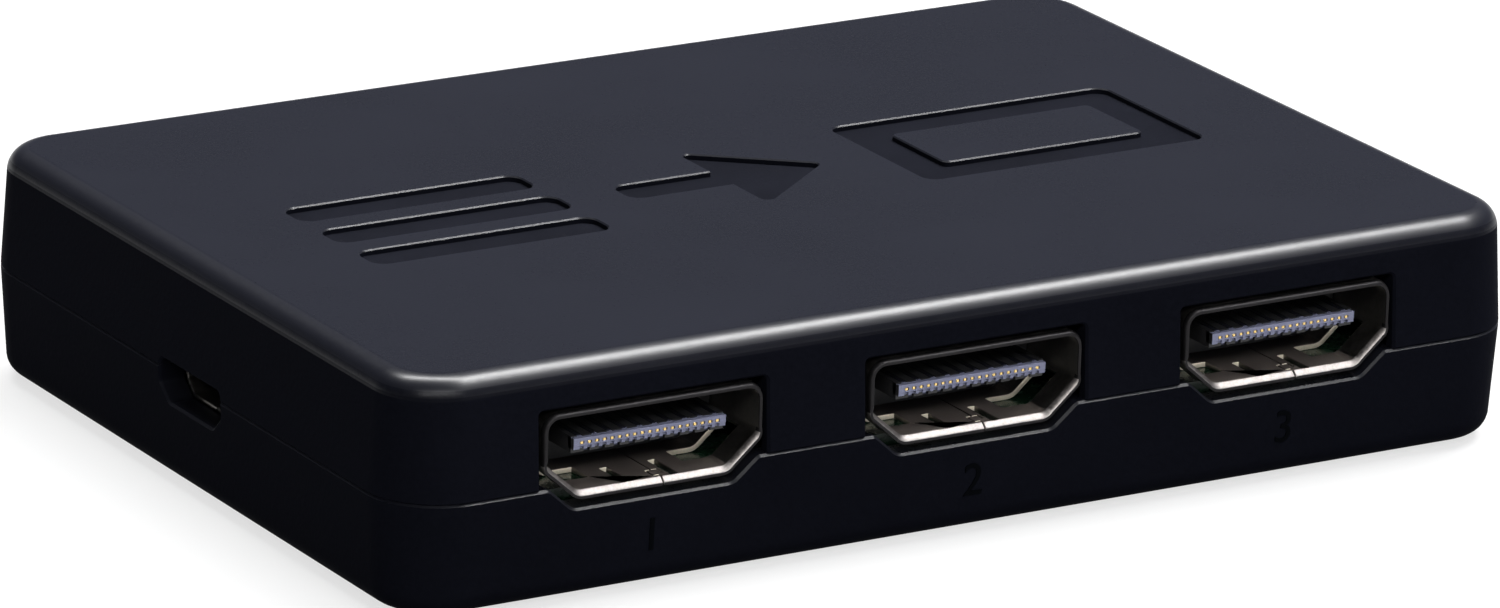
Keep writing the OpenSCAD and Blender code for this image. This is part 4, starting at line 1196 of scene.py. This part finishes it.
def merged(name, *pieces):
    """One object of several pieces' meshes; the pieces are used up."""
    shape = bmesh.new()
    for piece in pieces:
        shape.from_mesh(piece.data)
        bpy.data.objects.remove(piece)
    mesh = bpy.data.meshes.new(name)
    shape.to_mesh(mesh)
    shape.free()
    return linked(name, mesh)


# Insulators and contacts

# Half width and depth of a pocket in a tongue's nose, depth of the step under the pockets, length of the nose
POCKET = 0.14 * MM
POCKET_DEEP = 0.22 * MM
STEP_DEEP = 0.04 * MM
NOSE = 0.7 * MM
# Heights of the nose's lines, in shares of the tongue's thickness
NOSE_LINES = (0.26, 0.46, 0.56, 0.74, 0.94)
# From a tongue's tip to its plate behind the nose, and how far the plate reaches into the block
PLATE_FROM = 0.35 * MM
PLATE_SUNK = 0.2 * MM
# Room round a contact in its groove, and round the block in its shell
GROOVE_GAP = 0.05 * MM
BLOCK_GAP = 0.05 * MM
# Half size and length of a contact's tip, its place behind the tongue's, and its height in shares of the
# tongue's thickness
TIP_HALF = 0.09 * MM
TIP_LENGTH = 0.4 * MM
TIP_BEHIND = 0.03 * MM
TIP_SHARE = 0.65
# From a tongue's tip to where its painted shade starts, to where its gilt ends and its contacts' painted
# shade starts, and to where its contact strips start
NYLON_SHADE_FROM = 0.3 * MM
CONTACT_SHADE_FROM = 0.45 * MM
STRIP_FROM = 0.5 * MM
# Chamfer of the smallest pieces
FINE_EDGE = 0.02 * MM


def relief(xs, zs, front, back, sunk):
    """A block whose front face is stepped: sunk gives the depth of the cell in column i and line j."""
    points, faces, index = [], [], {}

    def at(x, y, z):
        key = (round(x, 9), round(y, 9), round(z, 9))
        if key not in index:
            index[key] = len(points)
            points.append(Vector(key))
        return index[key]

    columns, lines = len(xs) - 1, len(zs) - 1

    def level(i, j):
        if 0 <= i < columns and 0 <= j < lines:
            return front + sunk(i, j)
        return back

    for i in range(columns):
        for j in range(lines):
            x0, x1, z0, z1, y = xs[i], xs[i + 1], zs[j], zs[j + 1], level(i, j)
            faces.append((at(x0, y, z0), at(x1, y, z0), at(x1, y, z1), at(x0, y, z1)))
            for other, a, b in ((level(i + 1, j), (x1, z0), (x1, z1)), (level(i, j + 1), (x1, z1), (x0, z1)),
                                (level(i - 1, j), (x0, z1), (x0, z0)), (level(i, j - 1), (x0, z0), (x1, z0))):
                if other > y:
                    faces.append((at(a[0], y, a[1]), at(a[0], other, a[1]),
                                  at(b[0], other, b[1]), at(b[0], y, b[1])))
    outer = [(xs[0], zs[0]), (xs[-1], zs[0]), (xs[-1], zs[-1]), (xs[0], zs[-1])]
    faces.append(tuple(at(x, back, z) for x, z in outer))
    return points, faces


def contact_places(socket):
    """Places across of every contact's nose, in both rows."""
    total = 2 * socket.contacts - 1
    return [(i - (total - 1) / 2) * socket.pitch / 2 for i in range(total)]


def tongue_nose(socket):
    """The tongue's front: a pocket for each contact's nose, and a comb of notches under them."""
    half = socket.tongue_width / 2
    xs = [-half]
    kinds = []
    for x in contact_places(socket):
        xs += [x - POCKET, x + POCKET]
        kinds += ["land", "pocket"]
    xs.append(half)
    kinds.append("land")
    low, t = socket.tongue_low, socket.tongue
    zs = [low + share * t for share in NOSE_LINES]

    def sunk(i, j):
        if kinds[i] == "pocket" and j in (0, 2):
            return POCKET_DEEP
        return 0.0 if j else STEP_DEEP

    return relief(xs, zs, socket.tongue_tip, socket.tongue_tip + NOSE, sunk)


def comb_plate(socket):
    """The tongue behind its nose, with a groove for each contact above and below."""
    half = socket.tongue_width / 2
    low, high = socket.tongue_low, socket.tongue_low + socket.tongue
    groove = socket.contact_width / 2 + GROOVE_GAP
    deep = socket.contact
    outline = [(-half, low)]
    for i in range(socket.contacts - 1):
        x = (i - (socket.contacts - 2) / 2) * socket.pitch
        outline += [(x - groove, low), (x - groove, low + deep), (x + groove, low + deep), (x + groove, low)]
    outline += [(half, low), (half, high)]
    for i in reversed(range(socket.contacts)):
        x = (i - (socket.contacts - 1) / 2) * socket.pitch
        outline += [(x + groove, high), (x + groove, high - deep),
                    (x - groove, high - deep), (x - groove, high)]
    outline.append((-half, high))
    return prism(outline, socket.tongue_tip + PLATE_FROM, socket.block + PLATE_SUNK, UPRIGHT)


def insulator_block(socket):
    outline = rounded_points(grown(socket_corners(socket), -BLOCK_GAP), socket_bends(socket), 6)
    return prism(outline, socket.block, socket.block + socket.block_length, UPRIGHT)


class SWITCHBOX_OT_insulators(bpy.types.Operator):
    """Moulds the insulators with their tongues"""
    bl_idname = "switchbox.insulators"
    bl_label = "Insulators"

    def execute(self, context):
        socket = context.scene.switch_box.socket
        plate = new_object("plate", *comb_plate(socket))
        shaded(plate)
        block = new_object("block", *insulator_block(socket))
        shaded(block)
        nose = new_object("nose", *tongue_nose(socket))
        soften(nose, FINE_EDGE, 1)
        insulator = merged("insulator", plate, block, nose)
        for name in SOCKETS:
            place = socket_place(name, socket)
            copy = placed_copy(insulator, name + "_tongue", place, FINISHES["nylon"], "socket_plastic",
                               name + "_insulator")
            # Faces behind the nose's front take the near-black nylon: painted shade
            dress_behind(copy, "nylon_with_painted_shade", place, socket.tongue_tip + NYLON_SHADE_FROM)
        bpy.data.objects.remove(insulator)
        return {"FINISHED"}


def strip(socket, up):
    """One contact: along the tongue, down behind the block and out over the board, with rounded bends."""
    t = socket.contact
    front = socket.tongue_tip + STRIP_FROM
    back = socket.block + socket.block_length
    foot = -socket.sheet
    tail = 0.8 * MM
    centre = [(front, up + t / 2), (back + t / 2, up + t / 2), (back + t / 2, foot + t / 2),
              (back + t + tail, foot + t / 2)]
    bend = 0.25 * MM
    path = [Vector(centre[0])]
    for i in (1, 2):
        before, here, after = (Vector(c) for c in centre[i - 1:i + 2])
        start = here + (before - here).normalized() * bend
        end = here + (after - here).normalized() * bend
        path += [start, (start + end + 2 * here) / 4, end]
    path.append(Vector(centre[3]))
    half = socket.contact_width / 2
    rings = []
    for i, p in enumerate(path):
        along = (path[min(i + 1, len(path) - 1)] - path[max(i - 1, 0)]).normalized()
        out = Vector((-along.y, along.x)) * (t / 2)
        edge = half * 0.7
        rings.append([
            Vector((-half, p.x, p.y)), Vector((-edge, p.x + out.x, p.y + out.y)),
            Vector((edge, p.x + out.x, p.y + out.y)), Vector((half, p.x, p.y)),
            Vector((edge, p.x - out.x, p.y - out.y)), Vector((-edge, p.x - out.x, p.y - out.y))])
    return lofted(rings)


class SWITCHBOX_OT_contacts(bpy.types.Operator):
    """Sets out the contacts of every socket in their two rows"""
    bl_idname = "switchbox.contacts"
    bl_label = "Contacts"

    def execute(self, context):
        socket = context.scene.switch_box.socket
        gold = FINISHES["gold"]
        pitch = socket.pitch
        upper = socket.tongue_low + socket.tongue - socket.contact
        made = []
        lines = (("upper", upper, socket.contacts), ("lower", socket.tongue_low, socket.contacts - 1))
        for key, up, total in lines:
            piece = new_object(key, *strip(socket, up))
            made.append(rows(key + "_row", piece, total, 1, (total - 1) * pitch, 0, (0, 0, 0), gold))
        size = TIP_HALF
        y = socket.tongue_tip + TIP_BEHIND
        z = socket.tongue_low + TIP_SHARE * socket.tongue
        nose = new_object("nose_tip", *cube((-size, y, z - size), (size, y + TIP_LENGTH, z + size)))
        soften(nose, FINE_EDGE, 1)
        places = contact_places(socket)
        made.append(rows("nose_row", nose, len(places), 1, places[-1] - places[0], 0, (0, 0, 0), gold))
        contacts = merged("contacts", *made)
        for name in SOCKETS:
            place = socket_place(name, socket)
            copy = placed_copy(contacts, name + "_contact_rows", place, gold, "gold_contact",
                               name + "_contacts")
            # Contacts behind their gilt tips take the dark finish: painted shade
            dress_behind(copy, "nickel", place, socket.tongue_tip + CONTACT_SHADE_FROM)
        bpy.data.objects.remove(contacts)
        return {"FINISHED"}


class SWITCHBOX_OT_power_jack(bpy.types.Operator):
    """Folds the power jack's shell"""
    bl_idname = "switchbox.power_jack"
    bl_label = "Power jack"

    def execute(self, context):
        jack = context.scene.switch_box.jack
        seam, gap = 0.2 * MM, 0.06 * MM
        hole = (1.0 * MM, 1.7 * MM, 1.2 * MM, 2.6 * MM)
        near_floor = 0.05 * MM
        boxes = [(seam, seam + gap, 0, jack.shell_length), hole, (-hole[1], -hole[0], hole[2], hole[3])]

        def is_cut(x, depth, up):
            return up < near_floor and in_boxes(x, depth, boxes)

        places = {p for box in boxes for p in box[:2]}
        depths = {p for box in boxes for p in box[2:]}
        outline = split_outline(rounded(socket_corners(jack), [jack.bend] * 6, 5), places)
        sheet = thick_sheet(outline, jack.sheet, sorted(depths), is_cut)
        shell = new_object("power_jack_plated_shell", *sheet)
        soften(shell, jack.rim_round)
        shell.data.transform(jack_place(jack))
        finished(shell, FINISHES["plating"], "case", "plated_shell", "power_jack_shell")
        return {"FINISHED"}


# Controls on the back


def arc(centre_r, centre_h, radius, start, end, steps):
    """Points of a profile round a centre, from one angle to another in degrees."""
    angles = [math.radians(start + (end - start) * k / steps) for k in range(steps + 1)]
    return [(centre_r + radius * math.cos(t), centre_h + radius * math.sin(t)) for t in angles]


class SWITCHBOX_OT_select_button(bpy.types.Operator):
    """Moulds the select button with its flange and dished face"""
    bl_idname = "switchbox.select_button"
    bl_label = "Select button"

    def execute(self, context):
        controls = context.scene.switch_box.controls
        low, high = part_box("select_button")
        centre = middle("select_button")
        reach = high[1] - low[1]
        r = controls.button / 2
        rim = (high[0] - low[0]) / 2
        edge = controls.button_edge
        dish = r - 2 * edge
        profile = [(rim, 0), (rim, controls.flange), (r, controls.flange)]
        profile += arc(r - edge, reach - edge, edge, 0, 90, 6)
        profile += [(dish * k, reach - controls.button_dish * (1 - k * k)) for k in (1.0, 0.8, 0.6, 0.4, 0.2)]
        place = facing_back(centre.x, low[1], centre.z)
        button = new_object("select_button_cap", *turned(profile, place, 64))
        shaded(button)
        finished(button, FINISHES["button"], "button", "button_plastic", "select_button")
        return {"FINISHED"}


# Profile of a lamp's reflector cup, in shares of the lens's radius and reach
CUP = ((0.5, 0.25), (0.55, 0.5), (0.45, 0.52), (0.1, 0.4))


class SWITCHBOX_OT_status_lamps(bpy.types.Operator):
    """Casts the lamps' lenses, each round a small reflector cup"""
    bl_idname = "switchbox.status_lamps"
    bl_label = "Status lamps"

    def execute(self, context):
        controls = context.scene.switch_box.controls
        for name in LAMPS:
            low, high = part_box(name)
            centre = middle(name)
            reach = high[1] - low[1]
            r = controls.lamp / 2
            rim = r + controls.lens_rim
            profile = [(rim, 0), (rim, controls.flange), (r, controls.flange)]
            profile += arc(0, reach - r, r, 0, 86, 9)
            place = facing_back(centre.x, low[1], centre.z)
            lens = new_object(name + "_lens", *turned(profile, place))
            shaded(lens)
            finished(lens, FINISHES["lens"], "case", "lamp_resin", name)
            cup = [(radius * r, height * reach) for radius, height in CUP]
            die = new_object(name + "_cup", *turned(cup, place, 24))
            shaded(die)
            finished(die, FINISHES["tin"], "case", "tinned_lead")
        return {"FINISHED"}


class SWITCHBOX_OT_eye_window(bpy.types.Operator):
    """Moulds the smoked window of the remote eye"""
    bl_idname = "switchbox.eye_window"
    bl_label = "Remote eye window"

    def execute(self, context):
        controls = context.scene.switch_box.controls
        low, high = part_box("eye_window")
        centre = middle("eye_window")
        half_w = (high[0] - low[0]) / 2
        half_h = (high[2] - low[2]) / 2
        rim = controls.lens_rim
        edge = controls.window_edge
        reach = high[1] - low[1]
        sections = [(0, 0), (0, controls.flange), (rim, controls.flange)]
        sections += [(rim + edge * (1 - math.cos(t)), reach - edge * (1 - math.sin(t)))
                     for t in (math.pi / 8 * k for k in range(5))]
        place = Matrix.Translation((centre.x, low[1], centre.z)) @ UPRIGHT
        rings = []
        for inset, out in sections:
            outline = rounded_box(
                inset - half_w, inset - half_h, half_w - inset, half_h - inset, HOLE_ROUND, 5)
            rings.append([place @ Vector((p.x, p.y, out)) for p in outline])
        window = new_object("eye_window_pane", *lofted(rings))
        shaded(window)
        finished(window, FINISHES["window"], "case", "window_plastic", "eye_window")
        return {"FINISHED"}


# Underside


# Bevel of a foot's top and of a screw's head
BEVEL = 0.1 * MM
# Hollow in a foot's tread: shares of the foot's radius, and heights
TREAD = ((0.62, 0), (0.58, 0.1 * MM), (0.1, 0.14 * MM))


class SWITCHBOX_OT_feet(bpy.types.Operator):
    """Sets out the four rubber feet"""
    bl_idname = "switchbox.feet"
    bl_label = "Feet"

    def execute(self, context):
        edge = context.scene.switch_box.controls.foot_edge
        low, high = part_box(FEET[0])
        r = (high[0] - low[0]) / 2
        top = high[2]
        profile = [(r - BEVEL, top), (r, top - BEVEL)]
        profile += arc(r - edge, edge, edge, 0, -90, 5)
        profile += [(share * r, height) for share, height in TREAD]
        foot = new_object("foot", *turned(profile, Matrix(), 40))
        shaded(foot)
        first, last = middle(FEET[0]), middle(FEET[3])
        feet = rows("rubber_feet", foot, 2, 2, last.x - first.x, last.y - first.y,
                    ((first.x + last.x) / 2, (first.y + last.y) / 2, 0), FINISHES["rubber"])
        finished(feet, FINISHES["rubber"], "case", "foot_rubber", *FEET)
        return {"FINISHED"}


class SWITCHBOX_OT_screws(bpy.types.Operator):
    """Sets out the four case screws"""
    bl_idname = "switchbox.screws"
    bl_label = "Case screws"

    def execute(self, context):
        controls = context.scene.switch_box.controls
        low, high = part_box("case_screws")
        head = controls.screw_head / 2
        root = controls.screw_shank / 2
        flat, core, point = 0.5 * head, 0.8 * root, 0.4 * root
        crest = 0.2 * controls.thread
        edge, below = 0.25 * MM, 1 * MM
        shoulder = low[2] + controls.screw_head_height
        profile = [(flat, low[2])] + arc(head - edge, low[2] + edge, edge, -80, 0, 4)
        profile += [(head, shoulder - BEVEL), (head - BEVEL, shoulder), (root, shoulder)]
        z = shoulder + controls.thread
        while z < high[2] - controls.thread:
            profile += [(core, z - crest), (root, z + crest)]
            z += controls.thread
        profile.append((point, high[2]))
        screw = new_object("screw", *turned(profile, Matrix(), 36))
        arm, half = controls.cross_length / 2, controls.cross_width / 2
        cross = [(arm, -half), (arm, half), (half, half), (half, arm), (-half, arm), (-half, half),
                 (-arm, half), (-arm, -half), (-half, -half), (-half, -arm), (half, -arm), (half, -half)]
        cut(screw, [prism(cross, low[2] - below, low[2] + controls.cross_depth)])
        shaded(screw)
        places = screw_places(controls)
        first, last = Vector(places[0]), Vector(places[3])
        centre = (first + last) / 2
        screws = rows("case_screw_set", screw, 2, 2, last.x - first.x, last.y - first.y,
                      (centre.x, centre.y, 0), FINISHES["zinc"])
        finished(screws, FINISHES["zinc"], "case", "screw_steel", "case_screws")
        return {"FINISHED"}


# Numbers


# Height of a numeral, in shares of its font's size
NUMERAL_SHARE = 0.72


class SWITCHBOX_OT_numbers(bpy.types.Operator):
    """Raises a number on the front wall under each input"""
    bl_idname = "switchbox.numbers"
    bl_label = "Input numbers"

    def execute(self, context):
        box = context.scene.switch_box
        case, sign = box.case, box.sign
        low, _ = CAD_CASE
        run = case.parting - low.z - case.bottom_edge
        lean = math.atan2(case.draft, run)
        drop = sign.number_drop
        front = low.y + case.draft * drop / run
        for i, name in enumerate(INPUTS):
            curve = bpy.data.curves.new("number", "FONT")
            curve.body = str(i + 1)
            curve.size = sign.number_height / NUMERAL_SHARE
            curve.align_x = "CENTER"
            curve.align_y = "CENTER"
            curve.extrude = sign.number_relief
            text = linked("number", curve)
            graph = context.evaluated_depsgraph_get()
            mesh = bpy.data.meshes.new_from_object(text.evaluated_get(graph))
            bpy.data.objects.remove(text)
            place = Matrix.Translation((middle(name + "_shell").x, front, case.parting - drop))
            mesh.transform(place @ Matrix.Rotation(math.pi / 2 + lean, 4, "X"))
            number = linked(name + "_number", mesh)
            finished(number, FINISHES["number"], "case", "case_plastic")
        return {"FINISHED"}


class SWITCHBOX_OT_carried_over(bpy.types.Operator):
    """Gives the finishes to the pieces that keep their own solids"""
    bl_idname = "switchbox.carried_over"
    bl_label = "Inner pieces"

    def execute(self, context):
        for node, finish in CARRIED_OVER.items():
            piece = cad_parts[node]
            for holder in piece.material_slots:
                holder.material = FINISHES[finish]
        return {"FINISHED"}


# Stage


# Profile of the floor's upturned edge, in shares of its radius
FLOOR_EDGE = ((1, 0), (1.1, 0.02), (1.15, 0.08))
# Paint of the floor, and the light that it adds to the eye and in mirrors
FLOOR_TONE = "#6b6b6b"
FLOOR_GLOW = 0.7
# Width of the camera's sensor in millimetres, and where its view starts in metres
SENSOR_WIDTH = 36
VIEW_START = 0.01


def stage_floor(settings):
    """Pale floor with a low upturned edge, so that no view shows an end of it."""
    r = settings.floor_radius
    steps = 96
    points = [Vector((0, 0, 0))]
    for out, up in FLOOR_EDGE:
        points.extend(Vector((out * r * math.cos(t), out * r * math.sin(t), up * r))
                      for t in (2 * math.pi * k / steps for k in range(steps)))
    faces = [(0, 1 + i, 1 + (i + 1) % steps) for i in range(steps)]
    for ring in (0, 1):
        start = 1 + ring * steps
        for i in range(steps):
            j = (i + 1) % steps
            faces.append((start + i, start + steps + i, start + steps + j, start + j))
    mesh = bpy.data.meshes.new("floor")
    mesh.from_pydata(points, [], faces)
    floor = linked("floor", mesh)
    # Matt painted board: even and pale, and white to the eye and in mirrors where no shadow falls
    material = blank("painted_board")
    tree = material.node_tree
    board = add_node(tree, "ShaderNodeBsdfDiffuse", {"Color": linear(FLOOR_TONE) + (1,)}).outputs[0]
    glow = add_node(tree, "ShaderNodeEmission", {"Strength": FLOOR_GLOW}).outputs[0]
    lit = add_node(tree, "ShaderNodeAddShader", {0: board, 1: glow}).outputs[0]
    path = add_node(tree, "ShaderNodeLightPath")
    seen = path.outputs["Is Camera Ray"]
    for kind in ("Is Glossy Ray", "Is Transmission Ray"):
        seen = add_node(
            tree, "ShaderNodeMath", {0: seen, 1: path.outputs[kind]}, operation="MAXIMUM").outputs[0]
    either = add_node(tree, "ShaderNodeMixShader", {0: seen, 1: board, 2: lit}).outputs[0]
    # From below the floor is open, so that the underside can be looked at
    open_below = add_node(tree, "ShaderNodeBsdfTransparent").outputs[0]
    below = add_node(tree, "ShaderNodeNewGeometry").outputs["Backfacing"]
    surface = add_node(tree, "ShaderNodeMixShader", {0: below, 1: either, 2: open_below}).outputs[0]
    add_node(tree, "ShaderNodeOutputMaterial", {"Surface": surface})
    mesh.materials.append(material)


def stage_camera(settings):
    a, e, r = settings.azimuth, settings.elevation, settings.roll
    back = Vector((math.sin(a) * math.cos(e), -math.cos(a) * math.cos(e), math.sin(e)))
    right = Vector((math.cos(a), math.sin(a), 0))
    up = back.cross(right)
    side = math.cos(r) * right + math.sin(r) * up
    top = math.cos(r) * up - math.sin(r) * right
    place = Vector(settings.target) + back * settings.distance
    data = bpy.data.cameras.new("photo_view")
    data.lens = settings.lens
    data.sensor_width = SENSOR_WIDTH
    data.clip_start = VIEW_START
    camera = linked("photo_view", data)
    camera.matrix_world = Matrix((
        (side.x, top.x, back.x, place.x),
        (side.y, top.y, back.y, place.y),
        (side.z, top.z, back.z, place.z),
        (0, 0, 0, 1)))
    bpy.context.scene.camera = camera


def stage_light(name, place, size, power):
    """A soft box of a length and width that faces the origin, with its length level."""
    data = bpy.data.lights.new(name, "AREA")
    data.shape = "RECTANGLE"
    data.size, data.size_y = size
    data.energy = power
    lamp = linked(name, data)
    lamp.location = place
    lamp.rotation_euler = (-Vector(place)).to_track_quat("-Z", "Y").to_euler()


class SWITCHBOX_OT_stage(bpy.types.Operator):
    """Sets the floor, the soft light and the camera"""
    bl_idname = "switchbox.stage"
    bl_label = "Stage"

    def execute(self, context):
        scene = context.scene
        settings = scene.switch_box.stage
        scene.view_settings.view_transform = "Standard"
        stage_floor(settings)
        stage_camera(settings)
        for key in SOFT_BOXES:
            power, place, long, wide = (
                getattr(settings, key + part) for part in ("_power", "_place", "_length", "_width"))
            stage_light(key + "_box", place, (long, wide), power)
        world = bpy.data.worlds.new("studio")
        world.use_nodes = True
        tree = world.node_tree
        tree.nodes.clear()
        # The room is open on the right and dark on the left, so that edges on the left fade out
        towards = add_node(tree, "ShaderNodeTexCoord").outputs["Generated"]
        sideways = add_node(tree, "ShaderNodeSeparateXYZ", {0: towards}).outputs["X"]
        level = add_node(tree, "ShaderNodeMapRange", {
            "Value": sideways, "From Min": -settings.sky_edge, "From Max": settings.sky_edge,
            "To Min": settings.sky_dark, "To Max": settings.sky}).outputs[0]
        room = add_node(tree, "ShaderNodeBackground", {
            "Color": tuple(settings.sky_tint) + (1,), "Strength": level}).outputs[0]
        add_node(tree, "ShaderNodeOutputWorld", {"Surface": room})
        scene.world = world
        return {"FINISHED"}


OPERATORS = (
    SWITCHBOX_OT_case_halves,
    SWITCHBOX_OT_socket_shells,
    SWITCHBOX_OT_insulators,
    SWITCHBOX_OT_contacts,
    SWITCHBOX_OT_power_jack,
    SWITCHBOX_OT_select_button,
    SWITCHBOX_OT_status_lamps,
    SWITCHBOX_OT_eye_window,
    SWITCHBOX_OT_feet,
    SWITCHBOX_OT_screws,
    SWITCHBOX_OT_numbers,
    SWITCHBOX_OT_carried_over,
    SWITCHBOX_OT_stage,
)


class SWITCHBOX_PT_pieces(bpy.types.Panel):
    """Lists what builds the box"""
    bl_idname = "SWITCHBOX_PT_pieces"
    bl_label = "Switch Box"
    bl_space_type = "VIEW_3D"
    bl_region_type = "UI"
    bl_category = "Switch Box"

    def draw(self, context):
        for operator in OPERATORS:
            self.layout.operator(operator.bl_idname)


GROUPS = (SwitchBoxCase, SwitchBoxSign, SwitchBoxSocket, SwitchBoxJack, SwitchBoxControls, SwitchBoxFinish,
          SwitchBoxStage, SwitchBoxSettings)


def register():
    for kind in GROUPS + OPERATORS + (SWITCHBOX_PT_pieces,):
        bpy.utils.register_class(kind)
    bpy.types.Scene.switch_box = bpy.props.PointerProperty(type=SwitchBoxSettings)


def unregister():
    del bpy.types.Scene.switch_box
    for kind in reversed(GROUPS + OPERATORS + (SWITCHBOX_PT_pieces,)):
        bpy.utils.unregister_class(kind)


def main():
    register()
    make_finishes(bpy.context.scene.switch_box.finish)
    for operator in OPERATORS:
        group, name = operator.bl_idname.split(".")
        getattr(getattr(bpy.ops, group), name)()


if __name__ == "__main__":
    main()
